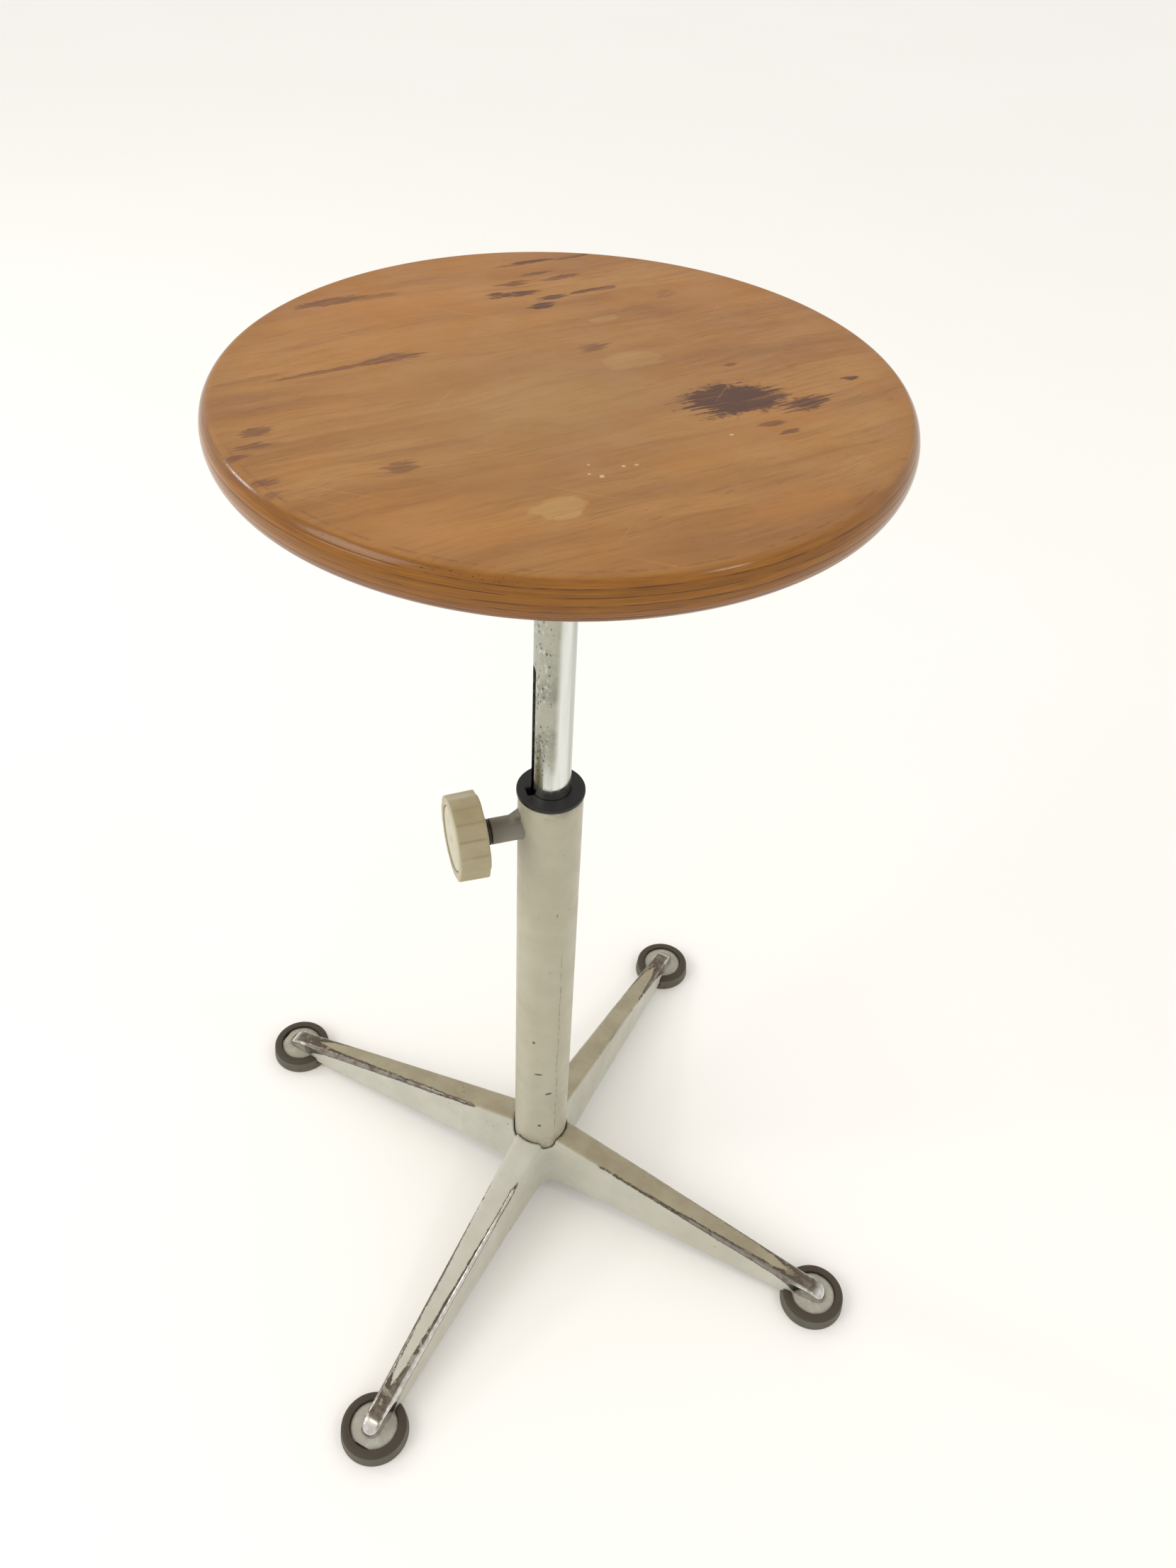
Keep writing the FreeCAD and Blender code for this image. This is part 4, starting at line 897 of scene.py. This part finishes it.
def build_collar():
    """Plastic collar: crisp flange, long sleeve, key notch and the clamp's hole."""
    def field(x, y, z):
        r = np.hypot(x, y)
        flange = disc(r, COLLAR_R, z, COLUMN_Z[1], COLLAR_TOP, 0.7)
        sleeve = both(r - (COLUMN_BORE - 0.05), slab(z, COLUMN_Z[1] - 60, COLUMN_Z[1] + 1), 0.3)
        solid = np.minimum(flange, sleeve)
        solid = without(solid, r - (TUBE_R + 0.1), 0.5)
        a = math.radians(KEY_AZ)
        u, v = x * math.cos(a) + y * math.sin(a), -x * math.sin(a) + y * math.cos(a)
        notch = np.maximum(np.maximum(np.abs(v) - 3.5, u - (TUBE_R + 3.4)), -u)
        solid = without(solid, notch, 0.8)
        way = np.maximum(np.hypot(v, z - CLAMP_Z) - CLAMP_HOLE_R, -u)
        return without(solid, way, 0.3)

    reach = COLLAR_R
    verts, faces = surface_net(field, (-reach, -reach, COLUMN_Z[1] - 60), (reach, reach, COLLAR_TOP), 0.5)
    add_object("collar_ring", verts, faces, "base", "black_plastic", ["collar_bush"])


build_collar()


def clamp_frame(x, y, z):
    """Distance out along the clamp axis, sideways from it, and up from it."""
    a = math.radians(KEY_AZ)
    return x * math.cos(a) + y * math.sin(a), -x * math.sin(a) + y * math.cos(a), z - CLAMP_Z


def build_boss():
    """Clamp boss standing off the column, with a small root fillet and a steep little gusset above."""
    def field(x, y, z):
        out, side, up = clamp_frame(x, y, z)
        around = np.hypot(side, up)
        r = np.hypot(x, y)
        rod = both(around - BOSS_R, slab(out, 8, BOSS_END), 0.5)
        fall = GUSSET_RISE / GUSSET_REACH
        slope = (up - BOSS_R - GUSSET_RISE + (out - COLUMN_R) * fall) / math.hypot(1, fall)
        rib = both(np.abs(side) - 3.5, slope, 0.9)
        rib = np.maximum(np.maximum(rib, up - BOSS_R - GUSSET_RISE), -up)
        solid = either(rod, rib, 0.8)
        core = np.maximum(r - (COLUMN_R - 0.3), around - BOSS_R - 6.0)
        solid = either(solid, core, 1.2)
        solid = np.maximum(solid, 8 - out)
        solid = without(solid, r - (COLUMN_R - 0.2), 0.1)
        return without(solid, around - 5.0, 0.3)

    a = math.radians(KEY_AZ)
    near, far = 12.0, BOSS_END
    xs = sorted([near * math.cos(a), far * math.cos(a)])
    low = (xs[0] - 9, xs[0] - 9, CLAMP_Z - 13)
    high = (xs[1] + 6, xs[1] + 6, CLAMP_Z + 16)
    verts, faces = surface_net(field, low, high, 0.5)
    out, side, up = clamp_frame(*verts.T)
    end = 0.45 * np.clip((out - BOSS_END + 12) / 12, 0, 1)
    corner = 0.9 * np.exp(-(np.hypot(out - COLUMN_R - 1.5, up - BOSS_R - 1.5) / 2.2) ** 2)
    piece = add_object("boss_casting", verts, faces, "base", "column_paint", ["clamp_boss"])
    store(piece, "grime_and_shade", np.maximum(end, corner))
    # Painted shade: the boss takes the darker, shaded copy of the column enamel.
    paint(piece, "boss_paint_shaded")


build_boss()


KNOB_PHASE = -19.0
KNOB_LOBES = 8


def build_knob():
    """Moulded knob: eight shallow flutes, softened edges, recessed face."""
    pitch = 2 * math.pi / KNOB_LOBES
    half_chord = KNOB_R * math.sin(pitch / 4)
    depth = 1.3 - KNOB_R * (1 - math.cos(pitch / 4))
    cutter = (half_chord ** 2 + depth ** 2) / (2 * depth)
    centre = KNOB_R * math.cos(pitch / 4) - depth + cutter
    first = math.radians(90 + KNOB_PHASE)

    def flute(x, y):
        angle = np.arctan2(y, x) - first
        angle = (angle + pitch / 2) % pitch - pitch / 2
        r = np.hypot(x, y)
        return np.hypot(r * np.cos(angle) - centre, r * np.sin(angle)) - cutter, angle

    def field(x, y, z):
        r = np.hypot(x, y)
        cut, _ = flute(x, y)
        rim = r - KNOB_R + KNOB_TAPER * (z - KNOB_BACK) / (KNOB_FACE - KNOB_BACK)
        outline = both(rim, -cut, 1.1)
        solid = both(outline, slab(z, KNOB_BACK, KNOB_FACE), 0.9)
        solid = without(solid, np.maximum(r - (CAP_R + 0.1), KNOB_FACE - 2.4 - z), 0.4)
        return without(solid, r - 5.0, 0.3)

    verts, faces = surface_net(field, (-KNOB_R, -KNOB_R, KNOB_BACK), (KNOB_R, KNOB_R, KNOB_FACE), 0.55)
    _, angle = flute(verts[:, 0], verts[:, 1])
    near_edge = np.abs(np.abs(angle) - pitch / 4) * KNOB_R
    r = np.hypot(verts[:, 0], verts[:, 1])
    on_rim = (r > KNOB_R - 3) & (verts[:, 2] > KNOB_BACK + 0.6) & (verts[:, 2] < KNOB_FACE - 0.5)
    spin = np.arctan2(verts[:, 1], verts[:, 0])
    grime_and_shade = np.where(on_rim, (0.22 + 0.16 * np.sin(3 * spin + 1)) * np.exp(-(near_edge / 0.8) ** 2), 0.0)
    rim = np.exp(-((r - CAP_R - 0.3) / 0.5) ** 2) * (verts[:, 2] > KNOB_FACE - 3)
    grime_and_shade = np.maximum(grime_and_shade, 0.5 * rim)
    grime_and_shade = np.maximum(grime_and_shade, 0.2 * np.exp(-((verts[:, 2] - KNOB_BACK) / 1.2) ** 2))
    piece = add_object("knob_body", lay_on_clamp(verts), faces, "knob", "knob_plastic", ["clamp_knob"])
    store(piece, "grime_and_shade", grime_and_shade)


build_knob()


def build_cap():
    """Thin snap-in disc, slightly dished, with a small moulding pip at its middle."""
    low, top = KNOB_FACE - 2.4, KNOB_FACE - 0.5
    profile = [(0.0, low), (CAP_R - 0.4, low), (CAP_R - 0.2, low + 0.4)]
    profile += [(CAP_R - 0.2, top - 0.5), (CAP_R - 0.6, top)]
    profile += [(float(r), top - 0.18 * (1 - (r / CAP_R) ** 2)) for r in np.linspace(CAP_R - 2, 3.0, 14)]
    profile += [(2.2, top - 0.18), (1.9, top - 0.4), (1.2, top - 0.45), (0.0, top - 0.45)]
    verts, faces = lathe(bend_path(profile, 0.2, 2), 96)
    r = np.hypot(verts[:, 0], verts[:, 1])
    grime_and_shade = 0.5 * np.exp(-((r - CAP_R) / 0.7) ** 2) + 0.3 * np.exp(-((r - 2.0) / 0.5) ** 2)
    piece = add_object("knob_disc", lay_on_clamp(verts), faces, "knob", "cap_plastic", ["knob_cap"])
    store(piece, "grime_and_shade", grime_and_shade)


build_cap()


# ---- base -------------------------------------------------------------------------------------
def arm_half(along, z):
    return ARM_H0 + ARM_H1 * along - ARM_DRAFT * z


def arm_top_gap(along, z):
    """Distance above the arm's top line, which curves down over the nose."""
    tilt = math.sqrt(1 + ARM_SLOPE ** 2)
    flat = (z - (ARM_TOP + ARM_SLOPE * along)) / tilt
    start = (NOSE_SHOULDER, ARM_TOP + ARM_SLOPE * NOSE_SHOULDER)
    centre = (start[0] + ARM_SLOPE * NOSE_DIP / tilt, start[1] - NOSE_DIP / tilt)
    curved = np.hypot(along - centre[0], z - centre[1]) - NOSE_DIP
    past = (along - centre[0]) * 1.0 + (z - centre[1]) * ARM_SLOPE > 0
    return np.where(past & (z > centre[1] - 5), np.maximum(curved, flat), flat)


def base_fields(x, y, z):
    """The casting's solid, with the distances to an arm's side and top that mark its upper edges."""
    along = np.maximum(np.abs(x), np.abs(y))
    across = np.minimum(np.abs(x), np.abs(y))
    half = arm_half(np.minimum(along, NOSE_X), z)
    past_nose = np.maximum(along - NOSE_X, 0)
    side = np.hypot(across, past_nose) - half
    top = arm_top_gap(along, z)
    skirt = np.interp(along, [25, 223], [ARM_SKIRT_HUB, ARM_SKIRT_TIP]) - z
    edge_radius = np.interp(along, [25, 90, 236, 252], [4.2, 3.4, 3.0, 0.6])
    arm = both(both(side, top, edge_radius), skirt, 1.2)
    other = along - arm_half(across, z)
    webbing = either(side, other, HUB_FILLET)
    web_top = z - (HUB_WEB_TOP + ARM_SLOPE * np.hypot(along, across))
    web = both(both(webbing, web_top, 3.0), ARM_SKIRT_HUB - z, 1.2)
    web = np.maximum(web, along - 70)
    solid = either(arm, web, 2.5)
    foot = np.hypot(along - FOOT_X, across)
    rise = 10.6 + 1.6 * np.clip(1 - foot / 15.0, 0, 1)
    pad = both(foot - PAD_R, slab(z, 4.6, rise), 0.3)
    flange = both(foot - PAD_FLANGE_R, slab(z, 4.6, PAD_FLANGE_TOP), 0.3)
    solid = either(solid, pad, 0.8)
    solid = np.minimum(solid, flange)
    return solid, side, top, along, across


def base_field(x, y, z):
    solid, side, _, along, across = base_fields(x, y, z)
    r = np.hypot(along, across)
    roof = z - (ARM_TOP - 5.2 + ARM_SLOPE * along)
    channel = both(both(side + 4.0, roof, 3.0), slab(along, 25.5, 214.0), 3.0)
    solid = without(solid, channel, 0.8)
    solid = without(solid, np.maximum(r - HUB_CAVITY_R, z - HUB_CAVITY_TOP), 0.8)
    solid = without(solid, r - 5.4, 0.3)
    socket = np.maximum(r - (COLUMN_R + 0.05), COLUMN_Z[0] - z)
    solid = without(solid, socket, 0.1)
    mouth = np.maximum(r - 21.9, 59.0 - z)
    return without(solid, mouth, 0.7)


def build_base():
    """One-piece casting: drafted arms with soft worn edges, blended hub, channels underneath."""
    reach = 262.0
    verts, faces = surface_net(base_field, (-reach, -reach, 4), (reach, reach, 72), 1.35)
    x, y, z = verts.T
    _, side, top, along, across = base_fields(x, y, z)
    h = 0.05
    lean = [(base_field(x + i, y + j, z + k) - base_field(x - i, y - j, z - k)) / (2 * h)
            for i, j, k in ((h, 0, 0), (0, h, 0), (0, 0, h))]
    up = lean[2] / np.maximum(np.sqrt(lean[0] ** 2 + lean[1] ** 2 + lean[2] ** 2), 1e-6)
    foot = np.hypot(along - FOOT_X, across)
    # Upward faces above the shoes, all but the front arm's top, are marked for the enamel's darker top tone.
    crown = np.clip((up - 0.55) / 0.3, 0, 1) * np.clip((z - 14) / 3, 0, 1)
    crown *= 1 - 0.92 * np.clip((-y - np.abs(x)) / 12, 0, 1)

    on_x = np.abs(x) >= np.abs(y)
    hard = np.where(on_x, y < 0, x > 0)
    hard = np.where(on_x, np.where(hard, np.where(x > 0, 1.0, 1.3), np.where(x > 0, 0.60, 0.42)),
                    np.where(y < 0, np.where(hard, 1.4, 0.80), 0.42))
    hard = np.maximum(hard, np.interp(along, [150, 230], [0.0, 1.1]))
    width = np.interp(along, [45, 62, 120, 180, 226], [0.0, 1.8, 2.4, 3.2, 4.4]) * hard
    width += np.interp(along, [214, 228, 238, 246], [0.0, 2.5, 8.0, 20.0])
    close = np.hypot(np.maximum(-side, 0), np.maximum(-top, 0))
    wear = np.where((z > 12.6) & (z < 66), width - close, -6.0)
    polish = np.where(on_x, 0.35, np.where(y < 0, np.where(x > 0, 1.0, 0.4), 0.3))
    shine = np.maximum(polish, np.clip((along - 226) / 14, 0, 1))
    # How level a face is: it places the paint islands, and the painted-reflection split of bare steel into
    # dark tops and light slopes.
    level = np.clip((up - 0.80) / 0.14, 0, 1)

    grime_and_shade = 0.9 * np.exp(-((foot - 17.2) / 2.4) ** 2) * (z > 8)
    grime_and_shade = np.maximum(grime_and_shade, 0.50 * (foot < 17.8) * (z < 13.5))
    skirt_line = 0.9 * np.exp(-((np.abs(side) + np.abs(z - 11.8)) / 1.9) ** 2) * (along > 234)
    # Painted shade: a dark ring round the column's mouth stands in for the shade in the gap between column
    # and hub.
    ring = 0.55 * np.exp(-((np.hypot(along, across) - 21.9) / 1.0) ** 2) * (z > 55)
    # Painted shade: the valleys between the arms near the hub are darkened where shade falls.
    valley_shade = 0.22 * np.exp(-((along - across) / 9.0) ** 2) * (np.hypot(along, across) < 60) * (z > 17)
    # The base's channel mixes dirt at the pads and nose with the painted shade of the mouth ring and the
    # valleys.
    grime_and_shade = np.maximum.reduce([grime_and_shade, skirt_line, ring, valley_shade])
    piece = add_object("base_body", verts, faces, "base", "cast_paint", ["base_casting"])
    store(piece, "wear", wear)
    store(piece, "shine", shine)
    store(piece, "level", level)
    store(piece, "crown", crown)
    store(piece, "grime_and_shade", grime_and_shade)


build_base()


def build_feet():
    """Rubber shoes: tapered wall, rounded shoulder, gripping lip, and a gap where the arm passes."""
    half = arm_half(FOOT_X - FOOT_R, 6.0) + 0.4

    def field(x, y, z):
        r = np.hypot(x, y)
        wall = (r - (FOOT_R - (FOOT_R - FOOT_TOP_R) * z / 9.4))
        solid = both(wall, slab(z, 0.0, FOOT_H), 2.6)
        foot_edge = both(wall, -z, 0.8)
        solid = np.where(z < 4, np.maximum(foot_edge, z - FOOT_H), solid)
        groove = slab(z, SHOE_FLOOR, PAD_FLANGE_TOP + 0.1)
        solid = without(solid, np.maximum(r - PAD_FLANGE_R - 0.1, groove), 0.2)
        solid = without(solid, np.maximum(r - PAD_R - 0.1, PAD_FLANGE_TOP - z), 0.35)
        gap = np.maximum(np.maximum(np.abs(y) - half, SHOE_FLOOR - z), x + 8.0)
        solid = without(solid, gap, 0.3)
        tread = np.maximum(np.abs(((r - 6.0) % 5.0) - 2.5) - 0.9, z - 0.5)
        tread = np.maximum(tread, r - 21.0)
        return without(solid, np.maximum(tread, 3.5 - r), 0.1)

    verts, faces = surface_net(field, (-FOOT_R, -FOOT_R, 0), (FOOT_R, FOOT_R, FOOT_H), 0.6)
    verts[:, 2] = np.maximum(verts[:, 2], 0.0)
    for name, degrees in (("right", 0), ("back", 90), ("left", 180), ("front", -90)):
        moved = turned(verts + [FOOT_X, 0, 0], degrees)
        add_object("shoe_" + name, moved, faces, "base", "rubber", ["foot_" + name])


build_feet()


# ---- carried-over CAD nodes -------------------------------------------------------------------
SLOT_OF = {entry["node"]: entry["material_slot"] for entry in frame["record"]["subparts"]}
for node, shape in frame["nodes"].items():
    if shape.hide_render:
        continue
    paint(shape, SLOT_OF[node])


# ---- floor, light and camera ------------------------------------------------------------------
def build_stage():
    """Pale seamless floor under a soft white sky."""
    size = 8.0
    mesh = bpy.data.meshes.new("studio_floor")
    corners = [(-size, -size, 0), (size, -size, 0), (size, size, 0), (-size, size, 0)]
    mesh.from_pydata(corners, [], [(0, 1, 2, 3)])
    floor = bpy.data.objects.new("studio_floor", mesh)
    bpy.context.scene.collection.objects.link(floor)
    g = Graph("studio_paper")
    tone = g.blend(g.noise(g.place, 0.002, 2.0), srgb(253, 252, 248), srgb(251, 249, 245))
    floor.data.materials.append(g.finish(tone, 0.9))


build_stage()


def area_light(name, place, target, size, power, tone):
    data = bpy.data.lights.new(name, "AREA")
    data.shape = "RECTANGLE"
    data.size, data.size_y = size
    data.energy = power
    data.color = tone
    lamp = bpy.data.objects.new(name, data)
    bpy.context.scene.collection.objects.link(lamp)
    lamp.location = place
    lamp.rotation_euler = (Vector(target) - Vector(place)).to_track_quat("-Z", "Y").to_euler()
    return lamp


def build_light():
    world = bpy.data.worlds.new("studio_sky")
    bpy.context.scene.world = world
    world.use_nodes = True
    sky = world.node_tree.nodes["Background"]
    sky.inputs[0].default_value = (1.0, 0.988, 0.965, 1.0)
    sky.inputs[1].default_value = 0.91
    area_light("window", (-1.5, -1.9, 2.2), (0, 0, 0.4), (1.5, 1.5), 22.0, (1.0, 0.98, 0.96))
    area_light("left_panel", (-2.4, -0.2, 1.75), (0, 0, 0.6), (0.35, 0.35), 6.0, (1.0, 0.98, 0.96))
    area_light("right_panel", (2.2, 0.0, 2.9), (0, 0, 0.6), (0.4, 0.4), 6.0, (1.0, 0.96, 0.92))


build_light()


def build_camera():
    data = bpy.data.cameras.new("camera")
    data.lens = 29.855
    data.sensor_width = 36.0
    camera = bpy.data.objects.new("camera", data)
    bpy.context.scene.collection.objects.link(camera)
    forward = Vector((-0.31340736, 0.66694875, -0.6759846))
    right = Vector((0.8871723, 0.45951789, 0.04205503))
    up = right.cross(forward)
    turn = Matrix((right, up, -forward)).transposed().to_4x4()
    camera.matrix_world = Matrix.Translation(Vector((0.276644, -0.534264, 0.999964))) @ turn
    bpy.context.scene.camera = camera


build_camera()
bpy.context.scene.view_settings.view_transform = "Standard"
bpy.context.scene.view_settings.look = "None"
